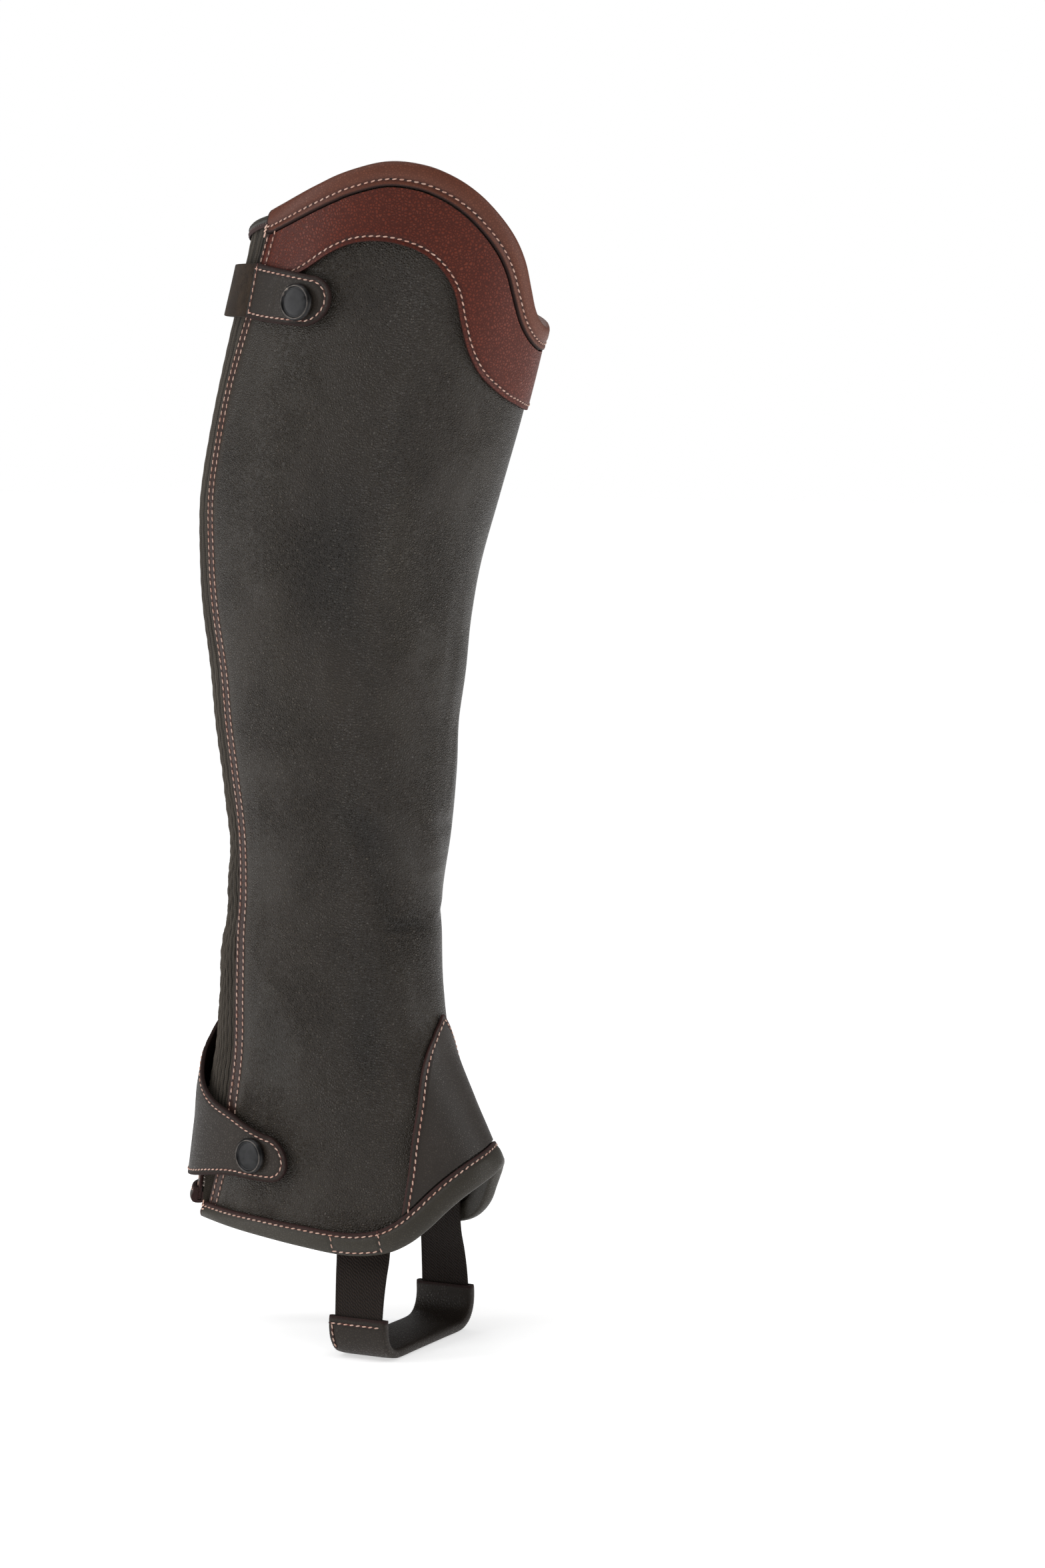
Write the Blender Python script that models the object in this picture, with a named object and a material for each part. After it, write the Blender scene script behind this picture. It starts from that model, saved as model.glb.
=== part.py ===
# Half chap for the right leg: a leather gaiter zipped round the lower leg above a short riding boot.
# +Z runs up the leg, -Y is forward and -X is the outer side. The origin is on the leg's axis at the
# ankle, ANKLE above the ground that the boot's sole stands on. Sizes are in millimetres.
# A place on the leg is an angle and a height: 0 degrees is the back, 90 the outer side, 180 the front
# and 270 the inner side, and a height is measured from that ground.

from collections import namedtuple
from math import cos, hypot, pi, radians, sin

import bmesh
import bpy
from mathutils import Matrix, Vector

MM = 0.001
ANKLE = 110.0

# Layers, as depths outside the main leather's outer face (minus is towards the leg)
GAP = 0.3
LAYER_GAP = 0.42
LEATHER = 1.6
OVERLAY = 1.1
STRETCH_CREST = -0.1
STRETCH_VALLEY = -0.9
STRETCH_INNER = -2.0
FACING_OUTER = -LEATHER - LAYER_GAP
FACING_INNER = FACING_OUTER - 0.9
TAPE_OUTER = STRETCH_INNER - 2 * GAP
TAPE_INNER = TAPE_OUTER - 0.7

# Edges
SEAM_HALF_GAP = 0.3
ZIP_HALF_GAP = 3.4
TOP_BINDING_DEEP = 10.0
TOP_BINDING_THICK = 2.1
BOTTOM_BINDING_THICK = 2.0
STRETCH_BINDING_DEEP = 5.0
BINDING_ROOF = 1.3
BINDING_CLEAR = 0.6
EDGE_ROOM = BINDING_ROOF + GAP
ZIP_TOP = 444.0
ZIP_END = 70.0
TAPE_WIDE = 15.0

# Ribs of the stretch panel and its crinkles where the ankle bends
RIBS = 24
STRETCH_ROWS = 22
CRINKLE_AT = 196.0
CRINKLE_REACH = 62.0
CRINKLE_DEEP = 0.7
CRINKLE_EVERY = 34.0

# Mesh divisions
LEG_COLUMNS = 44
LEG_ROWS = 22
ROW_START = 0.72

# Sections of the leg form: the outer face of the main leather. taper narrows the front quarter.
Section = namedtuple("Section", "height centre half_width back front taper")
FORM = [
    Section(40, -16.0, 42.5, 87.5, 80.0, 0.16),
    Section(62, -12.0, 42.0, 79.5, 75.0, 0.16),
    Section(86, -8.1, 41.2, 71.4, 70.0, 0.16),
    Section(100, -5.2, 40.6, 66.3, 66.0, 0.15),
    Section(114, -2.5, 40.2, 62.0, 61.5, 0.13),
    Section(137, 0.4, 39.8, 54.2, 54.0, 0.10),
    Section(161, 1.6, 39.5, 51.2, 51.2, 0.07),
    Section(184, 0.9, 39.5, 49.5, 49.5, 0.05),
    Section(203, -0.7, 40.0, 48.0, 48.0, 0.04),
    Section(229, -2.8, 42.0, 49.8, 49.8, 0.03),
    Section(256, -2.4, 44.5, 52.6, 52.6, 0.02),
    Section(276, -1.5, 46.5, 54.2, 54.2, 0.02),
    Section(298, -2.4, 49.4, 56.6, 56.6, 0.02),
    Section(322, -2.2, 52.4, 59.3, 59.3, 0.02),
    Section(343, -3.6, 54.6, 61.8, 61.8, 0.03),
    Section(372, -8.5, 56.8, 66.0, 66.0, 0.04),
    Section(408, -17.8, 57.0, 68.4, 68.4, 0.05),
    Section(443, -25.4, 56.5, 66.9, 70.6, 0.06),
    Section(470, -30.0, 56.5, 63.8, 70.4, 0.06),
    Section(520, -36.0, 56.5, 57.5, 69.5, 0.06),
]

# The outer seam and the middle of the zip, as the angle at each height
Line = namedtuple("Line", "height angle")
SEAM = [
    Line(60, 38.5), Line(76, 43.5), Line(90, 47.5), Line(110, 52), Line(131, 54.5), Line(165, 54.5),
    Line(205, 51), Line(250, 50), Line(300, 50), Line(350, 47.5), Line(380, 45), Line(412, 44),
    Line(443, 48.5), Line(470, 55), Line(500, 61),
]
ZIP = [
    Line(56, 30), Line(86, 29), Line(110, 22), Line(130, 18), Line(165, 12), Line(205, 7),
    Line(250, 4), Line(300, 2), Line(372, -2), Line(443, -4), Line(500, -1),
]

# Finished edges, all round from the outer seam to the inner side of the zip
Edge = namedtuple("Edge", "angle height")
TOP_EDGE = [
    Edge(59, 490), Edge(69, 493.5), Edge(83, 499.5), Edge(96, 505), Edge(109, 508.2), Edge(122, 506.4),
    Edge(133, 501.5), Edge(143, 494.5), Edge(152, 486), Edge(160, 477), Edge(166, 468), Edge(171, 458),
    Edge(176, 450), Edge(183, 445), Edge(192, 443), Edge(204, 444), Edge(230, 450), Edge(270, 461),
    Edge(310, 472), Edge(340, 480), Edge(355, 483.5),
]
BOTTOM_EDGE = [
    Edge(36, 59.5), Edge(49, 59), Edge(70, 57), Edge(84, 55.1), Edge(99, 53), Edge(107, 53),
    Edge(116, 54.9), Edge(124, 59), Edge(132, 64.8), Edge(142, 72.4), Edge(152, 78), Edge(165, 82.6),
    Edge(180, 85.6), Edge(192, 86.5), Edge(204, 84.5), Edge(214, 79.5), Edge(222, 73.5),
    Edge(230, 65.5), Edge(238, 59), Edge(245, 55.3), Edge(253, 53.6), Edge(262, 54), Edge(276, 57),
    Edge(294, 59.5), Edge(318, 61), Edge(345, 62.4), Edge(366, 63.2), Edge(387, 63.2),
]

# How far the lower binding reaches up the leather
Depth = namedtuple("Depth", "angle deep")
BOTTOM_BINDING_DEEP = [
    Depth(36, 6.8), Depth(56, 7.4), Depth(72, 8.4), Depth(100, 9.6), Depth(262, 9.6), Depth(310, 8),
    Depth(387, 6.8),
]

# Upper and lower ends of the stretch panel
STRETCH_TOP = [Edge(-2, 482.5), Edge(15, 483.5), Edge(30, 485), Edge(45, 487), Edge(61, 489)]
STRETCH_BOTTOM = [Edge(31, 64), Edge(42, 62.7)]

# Lower edge of the chestnut band, scalloped on the outer side, and of the facing inside it
BAND_EDGE = [
    Edge(50, 455), Edge(66, 459), Edge(80, 464), Edge(93, 472.5), Edge(100, 475.4), Edge(108, 476),
    Edge(116, 474.4), Edge(124, 470.6), Edge(131, 464), Edge(136.5, 455), Edge(140, 444.5),
    Edge(145, 433), Edge(152, 423.5), Edge(161, 417), Edge(174, 411.5), Edge(197, 408),
    Edge(220, 411.5), Edge(270, 425), Edge(310, 435.5), Edge(340, 443), Edge(356, 446.5),
]
FACING_EDGE = [
    Edge(50, 453), Edge(75, 447), Edge(113, 440), Edge(150, 424), Edge(180, 411), Edge(200, 410),
    Edge(270, 425), Edge(330, 447), Edge(356, 453),
]

# Pointed patch over the instep: how far it reaches to each side of its middle, at each height
PATCH_MIDDLE = 183.0
PATCH_APEX = 151.0
PATCH_LIFT = 0.55
Reach = namedtuple("Reach", "height angle")
PATCH = [
    Reach(60, 61), Reach(69, 60), Reach(84, 55), Reach(100, 48), Reach(116, 38.5), Reach(127, 31),
    Reach(137, 21.5), Reach(144, 12), Reach(149, 4), Reach(151, 1.5),
]

# Largest folds of the main leather: middle, half sizes across and along, tilt from upright, and how far
# the leather stands out, or in when it is minus
FOLD_RADIUS = 50.0
Fold = namedtuple("Fold", "angle height half_wide half_long tilt out")
FOLDS = [
    Fold(116, 345, 15, 82, 2, -1.3), Fold(136, 352, 14, 66, -4, 1.1), Fold(92, 300, 13, 60, -5, 0.7),
    Fold(134, 231, 12, 40, -56, -1.5), Fold(166, 233, 12, 30, -35, 0.9), Fold(166, 192, 10, 20, -78, -0.9),
    Fold(104, 172, 13, 38, -38, 1.0), Fold(129, 146, 13, 42, 4, -1.2), Fold(84, 140, 13, 34, 12, -0.8),
    Fold(224, 355, 15, 58, -12, -1.3), Fold(246, 330, 13, 64, -8, 1.0), Fold(268, 300, 14, 62, 5, -0.9),
    Fold(236, 236, 12, 42, 38, -1.2), Fold(262, 205, 12, 36, 44, 0.9), Fold(290, 215, 13, 50, 10, -0.8),
    Fold(228, 165, 12, 34, -20, -0.9),
]

# Fastening tabs: lower and upper edge and how far the underside stands off the leather, by angle
Tab = namedtuple("Tab", "angle low high lift")
UPPER_ELASTIC = [
    Tab(-26, 445, 466, 1.8), Tab(-16, 445.5, 466.5, 1.9), Tab(-6, 446, 467, 2.3), Tab(12, 446.5, 467.5, 2.5),
    Tab(30, 446.5, 468, 2.6), Tab(42, 446.2, 468, 2.5), Tab(56.6, 445.7, 468, 2.4),
]
UPPER_TAB = [
    Tab(57, 445.7, 468, 2.4), Tab(65, 444.2, 466.6, 2.3), Tab(74, 443, 465, 2.3),
    Tab(86, 441.8, 462.6, 2.3),
]
LOWER_TAB = [
    Tab(-40, 86, 149, 0.4), Tab(-28, 83.5, 152, 0.5), Tab(-14, 79, 150, 0.9), Tab(0, 76, 143, 2.2),
    Tab(12, 75, 134.5, 3.0), Tab(22, 75.2, 128.5, 3.4), Tab(33, 76.7, 119.5, 3.4), Tab(46, 79.4, 113, 3.0),
    Tab(59, 81.4, 108.8, 2.6), Tab(69, 81.2, 104.2, 2.3), Tab(77.3, 81.2, 101.2, 2.3),
]
TAB_THICK = 1.7
ELASTIC_THICK = 1.5

# Press studs: where each one sits and its round sizes
Stud = namedtuple("Stud", "name angle height lift")
STUDS = [Stud("upper", 82.8, 451.6, 2.3), Stud("lower", 70.7, 91.8, 2.3)]
CAP_RADIUS = 7.7
CAP_HIGH = 2.6
STUD_RADIUS = 5.2

# Strap under the boot: a webbing loop in a leather sleeve, as the half of its path on the inner side
STRAP_Y = -33.0
WEBBING_WIDE = 23.0
WEBBING_THICK = 1.5
SLEEVE_WIDE = 28.0
SLEEVE_THICK = 4.3
SLEEVE_TOP = 26.0
Path = namedtuple("Path", "across height skew")
STRAP_PATH = [
    Path(0, 9.8, 0), Path(14, 9.8, 0), Path(27, 9.8, 0), Path(31.5, 10.5, 0), Path(35.5, 12.8, 0),
    Path(38, 16.6, 0), Path(38.9, 21, 0), Path(38.7, 26, 0), Path(37.9, 34, 0.04), Path(36.5, 43, 0.12),
    Path(35, 50, 0.2), Path(34.3, 57, 0.24), Path(34.1, 66, 0.24),
]

# Zip slider and pull
SLIDER_HEIGHT = 433.0
SLIDER_WIDE = 9.0
SLIDER_LONG = 11.0
BRIDGE_WIDE = 2.0
BRIDGE_OUT = 5.2
HINGE_OUT = 3.0
HINGE_DOWN = 1.6
PULL_WIDE = 6.6
PULL_LONG = 25.0
PULL_THICK = 1.3
PULL_EYE_WIDE = 3.4
PULL_EYE_LONG = 4.4

# Colour, roughness and metallic of each material
Finish = namedtuple("Finish", "colour roughness metallic")
FINISHES = {
    "dark_leather": Finish((0.030, 0.024, 0.021), 0.45, 0.0),
    "chestnut_leather": Finish((0.115, 0.034, 0.024), 0.45, 0.0),
    "suede": Finish((0.160, 0.042, 0.024), 0.95, 0.0),
    "stretch": Finish((0.026, 0.021, 0.019), 0.7, 0.0),
    "webbing": Finish((0.040, 0.022, 0.016), 0.85, 0.0),
    "zip_tape": Finish((0.060, 0.024, 0.020), 0.85, 0.0),
    "metal": Finish((0.020, 0.020, 0.020), 0.35, 0.9),
}


def read(table, at, column):
    # A smooth curve through one column of a table, over the table's first column.
    at = min(max(at, table[0][0]), table[-1][0])
    spot = 0
    while spot < len(table) - 2 and at > table[spot + 1][0]:
        spot += 1
    first, last = table[spot], table[spot + 1]
    before, after = table[max(spot - 1, 0)], table[min(spot + 2, len(table) - 1)]
    run = last[0] - first[0]
    start, end = getattr(first, column), getattr(last, column)
    leave = (end - getattr(before, column)) / (last[0] - before[0]) * run
    arrive = (getattr(after, column) - start) / (after[0] - first[0]) * run
    t = (at - first[0]) / run
    curve = (2 * t**3 - 3 * t**2 + 1) * start + (t**3 - 2 * t**2 + t) * leave
    return curve + (3 * t**2 - 2 * t**3) * end + (t**3 - t**2) * arrive


def between(start, end, share):
    return start + (end - start) * share


def form_point(angle, height):
    turn = radians(angle)
    ahead = min(cos(turn), 0.0)
    depth = read(FORM, height, "front" if ahead < 0 else "back")
    narrow = 1 - read(FORM, height, "taper") * ahead**2
    across = -read(FORM, height, "half_width") * sin(turn) * narrow
    along = read(FORM, height, "centre") + depth * cos(turn)
    return Vector((across, along, height - ANKLE))


def form_frame(angle, height):
    # The point on the form with its two tangents, per degree and per mm of height, and its normal.
    point = form_point(angle, height)
    round_leg = form_point(angle + 0.5, height) - form_point(angle - 0.5, height)
    up_leg = (form_point(angle, height + 1) - form_point(angle, height - 1)) / 2
    return point, round_leg, up_leg, round_leg.cross(up_leg).normalized()


def fold_out(angle, height):
    # How far the folds carry the leather out of the form here. Each one is an oval, round at its top.
    total = 0.0
    for fold in FOLDS:
        across = radians(angle - fold.angle) * FOLD_RADIUS
        along = height - fold.height
        tilt = radians(fold.tilt)
        aside = (across * cos(tilt) - along * sin(tilt)) / fold.half_wide
        onward = (across * sin(tilt) + along * cos(tilt)) / fold.half_long
        total += fold.out * max(0.0, 1 - aside**2 - onward**2) ** 2
    return total


def on_form(angle, height, out):
    point, _, _, normal = form_frame(angle, height)
    return (point + normal * (out + fold_out(angle, height))) * MM


def turned(angle, height, distance):
    # The change of angle that moves a place by a distance round the leg.
    return distance / form_frame(angle, height)[1].length


def seam_angle(height, aside):
    angle = read(SEAM, height, "angle")
    return angle + turned(angle, height, aside)


def zip_angle(height, aside):
    angle = read(ZIP, height, "angle")
    return angle + turned(angle, height, aside)


def leg_angle(share, height):
    # Across the main leather: 0 is its outer seam, 1 its edge at the zip, a full turn further round.
    return between(seam_angle(height, SEAM_HALF_GAP), zip_angle(height, -ZIP_HALF_GAP) + 360, share)


def stretch_angle(share, height):
    return between(zip_angle(height, ZIP_HALF_GAP), seam_angle(height, -SEAM_HALF_GAP), share)


def edge_at(table, angle_at, share):
    # The place on an edge that lies this share of the way across a panel.
    height = between(table[0].height, table[-1].height, share)
    for _ in range(8):
        height = read(table, angle_at(share, height), "height")
    return angle_at(share, height), height


def edge_inset(table, angle_at, share, inward):
    # That place moved square to the edge, into the panel. inward is minus for a lower edge.
    angle, height = edge_at(table, angle_at, share)
    if share in (0, 1):
        # at a panel's side the edge is moved along that side
        return angle_at(share, height - inward), height - inward
    step = 0.004
    ahead = edge_at(table, angle_at, min(share + step, 1))
    behind = edge_at(table, angle_at, max(share - step, 0))
    per_degree = form_frame(angle, height)[1].length
    along = (ahead[0] - behind[0]) * per_degree
    rise = ahead[1] - behind[1]
    length = hypot(along, rise)
    return angle + inward * rise / length / per_degree, height - inward * along / length


def even_shares(table, angle_at, count):
    # Shares across a panel whose places on the edge lie at even distances, half weighted to the angle.
    fine = 400
    places = [edge_at(table, angle_at, i / fine) for i in range(fine + 1)]
    run = [0.0]
    for (angle, height), (next_angle, next_height) in zip(places, places[1:]):
        run.append(run[-1] + abs(next_angle - angle) + 0.8 * abs(next_height - height))
    shares, spot = [], 0
    for i in range(count + 1):
        wanted = run[-1] * i / count
        while spot < fine - 1 and run[spot + 1] < wanted:
            spot += 1
        shares.append((spot + (wanted - run[spot]) / (run[spot + 1] - run[spot])) / fine)
    return shares


def finish_material(name):
    if name in bpy.data.materials:
        return bpy.data.materials[name]
    finish = FINISHES[name]
    material = bpy.data.materials.new(name)
    material.use_nodes = True
    shader = material.node_tree.nodes["Principled BSDF"]
    shader.inputs["Base Color"].default_value = (*finish.colour, 1)
    shader.inputs["Roughness"].default_value = finish.roughness
    shader.inputs["Metallic"].default_value = finish.metallic
    return material


def add_object(name, mesh, finish, smooth=True):
    bmesh.ops.recalc_face_normals(mesh, faces=mesh.faces[:])
    if mesh.calc_volume(signed=True) < 0:
        bmesh.ops.reverse_faces(mesh, faces=mesh.faces[:])
    data = bpy.data.meshes.new(name)
    mesh.to_mesh(data)
    mesh.free()
    if smooth:
        data.shade_smooth()
        data.set_sharp_from_angle(angle=radians(40))
    data.materials.append(finish_material(finish))
    piece = bpy.data.objects.new(name, data)
    bpy.context.scene.collection.objects.link(piece)
    return piece


def add_wall(name, columns, rows, place, outside, inside, finish):
    # A closed sheet: a flat grid is extruded once, then each skin is laid on the form at its own depth.
    mesh = bmesh.new()
    bmesh.ops.create_grid(mesh, x_segments=columns, y_segments=rows, size=0.5)
    grown = bmesh.ops.extrude_face_region(mesh, geom=mesh.faces[:])
    under = {item for item in grown["geom"] if isinstance(item, bmesh.types.BMVert)}
    for vert in mesh.verts:
        u, v = vert.co.x + 0.5, vert.co.y + 0.5
        angle, height = place(u, v)
        vert.co = on_form(angle, height, inside(u, v) if vert in under else outside(u, v))
    return add_object(name, mesh, finish)


def add_swept(name, rings, finish):
    # A bar whose closed section is carried from ring to ring, each a list of points, with both ends capped.
    mesh = bmesh.new()
    start = face = mesh.faces.new([mesh.verts.new(point) for point in rings[0]])
    for ring in rings[1:]:
        grown = bmesh.ops.extrude_face_region(mesh, geom=[face])
        if face is not start:
            bmesh.ops.delete(mesh, geom=[face], context="FACES_ONLY")
        face = next(item for item in grown["geom"] if isinstance(item, bmesh.types.BMFace))
        for vert, point in zip(face.verts, ring):
            vert.co = point
    return add_object(name, mesh, finish)


def level(value):
    return lambda u, v: value


def pick(values, share):
    # The entry of an even list at a share of its length, for a grid with one column an entry.
    return values[round(share * (len(values) - 1))]


def closer_low(share):
    # Rows lie closer together towards the ankle and the instep, where the form bends most.
    return share * between(ROW_START, 1, share)


def evenly(share):
    return share


def add_leg_layer(name, shares, ends, rows, skins, finish, spread=evenly):
    # A layer round the main leather, between its lower and upper places at each share across.
    # skins are the depths of its outer and inner face, and spread spaces its rows.
    lows, highs = ends
    columns = []
    for share, low, high in zip(shares, lows, highs):
        aside = [spot[0] - leg_angle(share, spot[1]) for spot in (low, high)]
        columns.append((share, low[1], high[1], *aside))

    def place(u, v):
        share, low, high, low_aside, high_aside = pick(columns, u)
        reach = spread(v)
        height = between(low, high, reach)
        return leg_angle(share, height) + between(low_aside, high_aside, reach), height

    outer, inner = skins
    return add_wall(name, len(shares) - 1, rows, place, level(outer), level(inner), finish)


def add_leg_panel(shares):
    # Main leather, from the outer seam round the shin to the zip, ending inside the two bindings.
    lows = [edge_inset(BOTTOM_EDGE, leg_angle, share, -EDGE_ROOM) for share in shares]
    highs = [edge_inset(TOP_EDGE, leg_angle, share, EDGE_ROOM) for share in shares]
    add_leg_layer("leg_panel", shares, (lows, highs), LEG_ROWS, (0, -LEATHER), "dark_leather", closer_low)


def add_top_layers(shares):
    # The chestnut band outside, from under the binding to its scalloped edge, and the facing inside.
    highs = [edge_inset(TOP_EDGE, leg_angle, share, TOP_BINDING_DEEP + BINDING_CLEAR) for share in shares]
    lows = [edge_at(BAND_EDGE, leg_angle, share) for share in shares]
    skins = LAYER_GAP + OVERLAY, LAYER_GAP
    add_leg_layer("top_band", shares, (lows, highs), 3, skins, "chestnut_leather")
    highs = [edge_inset(TOP_EDGE, leg_angle, share, EDGE_ROOM) for share in shares]
    lows = [edge_at(FACING_EDGE, leg_angle, share) for share in shares]
    add_leg_layer("top_facing", shares, (lows, highs), 3, (FACING_OUTER, FACING_INNER), "suede")


def stretch_depth(u, height):
    # Ribs run up the panel; round the ankle the cloth also bunches into level crinkles.
    rib = round(u * 2 * RIBS) % 2
    near = max(0.0, 1 - abs(height - CRINKLE_AT) / CRINKLE_REACH)
    crinkle = CRINKLE_DEEP * near * sin(2 * pi * height / CRINKLE_EVERY + 1.4 * sin(pi * u))
    return between(STRETCH_VALLEY, STRETCH_CREST, rib) + crinkle


def add_stretch_panel():
    ends = []
    for i in range(2 * RIBS + 1):
        share = i / (2 * RIBS)
        low = edge_at(STRETCH_BOTTOM, stretch_angle, share)[1]
        ends.append((low, edge_at(STRETCH_TOP, stretch_angle, share)[1] - EDGE_ROOM))

    def place(u, v):
        height = between(*pick(ends, u), closer_low(v))
        return stretch_angle(u, height), height

    def outside(u, v):
        return stretch_depth(u, place(u, v)[1])

    def inside(u, v):
        return STRETCH_INNER

    return add_wall("stretch_panel", 2 * RIBS, STRETCH_ROWS, place, outside, inside, "stretch")


def binding_section(deep, outer, inner):
    # A hook: down the outside to its full depth, over the edge, and down the inside not quite so far.
    face, thick = outer
    back, back_thick = inner
    back_deep = 0.75 * deep
    mid_out = (face + thick + back - back_thick) / 2
    return [
        (deep, face), (deep - 0.6, face + thick), (2.2, face + thick + 0.2), (0.7, face + thick - 0.5),
        (0.0, mid_out), (0.9, back - back_thick + 0.2), (back_deep, back - back_thick),
        (back_deep, back), (BINDING_ROOF, back), (BINDING_ROOF, face),
    ]


def add_binding(name, table, angle_at, shares, side, deep_at, outer, inner, finish):
    # A folded strip over an edge, its section laid square to the edge at each share across.
    rings = []
    for share in shares:
        angle, _ = edge_at(table, angle_at, share)
        section = binding_section(deep_at(angle), outer, inner)
        rings.append([
            on_form(*edge_inset(table, angle_at, share, side * inward), out) for inward, out in section
        ])
    return add_swept(name, rings, finish)


def top_depth(angle):
    return TOP_BINDING_DEEP


def stretch_binding_depth(angle):
    return STRETCH_BINDING_DEEP


def bottom_depth(angle):
    return read(BOTTOM_BINDING_DEEP, angle, "deep")


def add_front_patch():
    columns, rows = 16, 9
    low_edge = []
    for i in range(201):
        under = bottom_depth(edge_at(BOTTOM_EDGE, leg_angle, i / 200)[0]) + BINDING_CLEAR
        low_edge.append(Edge(*edge_inset(BOTTOM_EDGE, leg_angle, i / 200, -under)))
    lows = []
    for i in range(columns + 1):
        side = 2 * i / columns - 1
        low = 80.0
        for _ in range(12):
            low = read(low_edge, PATCH_MIDDLE + side * read(PATCH, low, "angle"), "height")
        lows.append(low)

    def place(u, v):
        height = between(pick(lows, u), PATCH_APEX, v)
        return PATCH_MIDDLE + (2 * u - 1) * read(PATCH, height, "angle"), height

    outer, inner = PATCH_LIFT + OVERLAY, PATCH_LIFT
    return add_wall("front_patch", columns, rows, place, level(outer), level(inner), "dark_leather")


def add_zip_tape(name, start, end):
    def place(u, v):
        height = between(ZIP_END, ZIP_TOP, v)
        return zip_angle(height, between(start, end, u)), height

    return add_wall(name, 3, 20, place, level(TAPE_OUTER), level(TAPE_INNER), "zip_tape")


def tab_station(table, angle):
    return [read(table, angle, column) for column in ("low", "high", "lift")]


def add_tab(name, table, tip, thick, columns, finish):
    # A strip over the leather. tip is the length of its rounded end, or 0 for a square one.
    start, end = table[0].angle, table[-1].angle
    rows = 4
    tip_steps = 5
    stations = [between(start, end, i / columns) for i in range(columns + 1)]
    full = len(stations)
    if tip:
        per_degree = form_frame(end, table[-1].low)[1].length
        stations += [end + tip / per_degree * sin(pi / 2 * i / tip_steps) for i in range(1, tip_steps + 1)]

    def place(u, v):
        number = round(u * (len(stations) - 1))
        angle = stations[number]
        low, high, _ = tab_station(table, angle)
        if number >= full:
            part = (number - full + 1) / tip_steps
            slim = max(cos(pi / 2 * part), 0.25)
            middle = (low + high) / 2
            low, high = between(middle, low, slim), between(middle, high, slim)
        return angle, between(low, high, v)

    def inside(u, v):
        return tab_station(table, place(u, v)[0])[2]

    def outside(u, v):
        return inside(u, v) + thick

    return add_wall(name, len(stations) - 1, rows, place, outside, inside, finish)


def placed_frame(angle, height, out):
    # World matrix of a place on the form: X round the leg, Y up it, Z out of it.
    point, round_leg, _, normal = form_frame(angle, height)
    across = round_leg.normalized()
    up = normal.cross(across)
    frame = Matrix((across, up, normal)).transposed().to_4x4()
    frame.translation = (point + normal * out) * MM
    return frame


def add_turned(name, profile, frame, finish, segments=24):
    # A round piece: its profile of radius and height is spun about the frame's Z.
    mesh = bmesh.new()
    chain = [mesh.verts.new((radius * MM, 0, high * MM)) for radius, high in profile]
    edges = [mesh.edges.new(pair) for pair in zip(chain, chain[1:])]
    bmesh.ops.spin(
        mesh, geom=chain + edges, cent=(0, 0, 0), axis=(0, 0, 1), angle=2 * pi, steps=segments, use_merge=True
    )
    bmesh.ops.remove_doubles(mesh, verts=mesh.verts[:], dist=0.00001)
    piece = add_object(name, mesh, finish)
    piece.matrix_world = frame
    return piece


def add_press_studs():
    for stud in STUDS:
        top = stud.lift + TAB_THICK + GAP
        rim, dish = CAP_RADIUS, CAP_HIGH
        cap = [
            (0, 0), (rim - 0.4, 0), (rim, 1.2), (rim - 0.9, dish), (rim - 1.7, dish),
            (rim - 2.3, dish - 0.7), (rim - 4.2, dish - 0.7), (rim - 4.8, dish - 0.3), (0, dish - 0.3),
        ]
        add_turned(f"{stud.name}_snap_cap", cap, placed_frame(stud.angle, stud.height, top), "metal")
        high = stud.lift - 2 * GAP
        post = [(0, 0), (STUD_RADIUS, 0), (STUD_RADIUS, high * 0.4), (STUD_RADIUS - 1, high), (0, high)]
        add_turned(f"{stud.name}_snap_stud", post, placed_frame(stud.angle, stud.height, GAP), "metal", 16)


def combine(piece, other, operation):
    # Joins or cuts with a helper, which then stays hidden.
    modifier = piece.modifiers.new(other.name, "BOOLEAN")
    modifier.operation = operation
    modifier.object = other
    other.hide_render = True
    other.display_type = "WIRE"


def strap_rings(spots, wide, thick):
    # Four corners at each stop along the strap, from the outer end under the boot to the inner end.
    # skew turns the flat of the strap to the leather, which closes in towards the front.
    half = [(Vector((spot.across, 0, spot.height - ANKLE)), spot.skew) for spot in spots]
    line = [(Vector((-point.x, 0, point.z)), -skew) for point, skew in reversed(half[1:])] + half
    rings = []
    for i, (point, skew) in enumerate(line):
        along = line[min(i + 1, len(line) - 1)][0] - line[max(i - 1, 0)][0]
        out = Vector((along.z, 0, -along.x)).normalized()
        ring = []
        for side, face in ((-1, -1), (1, -1), (1, 1), (-1, 1)):
            aside = side * wide / 2
            place = point + out * face * thick / 2 + Vector((skew * aside, STRAP_Y + aside, 0))
            ring.append(place * MM)
        rings.append(ring)
    return rings


def add_foot_strap():
    add_swept("strap_webbing", strap_rings(STRAP_PATH, WEBBING_WIDE, WEBBING_THICK), "webbing")
    low = [spot for spot in STRAP_PATH if spot.height <= SLEEVE_TOP]
    sleeve = add_swept("sole_sleeve", strap_rings(low, SLEEVE_WIDE, SLEEVE_THICK), "dark_leather")
    longer = STRAP_PATH[: len(low) + 1]
    hollow = strap_rings(longer, WEBBING_WIDE + 2 * GAP, WEBBING_THICK + 2 * GAP)
    combine(sleeve, add_swept("sleeve_hollow", hollow, "dark_leather"), "DIFFERENCE")


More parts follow.
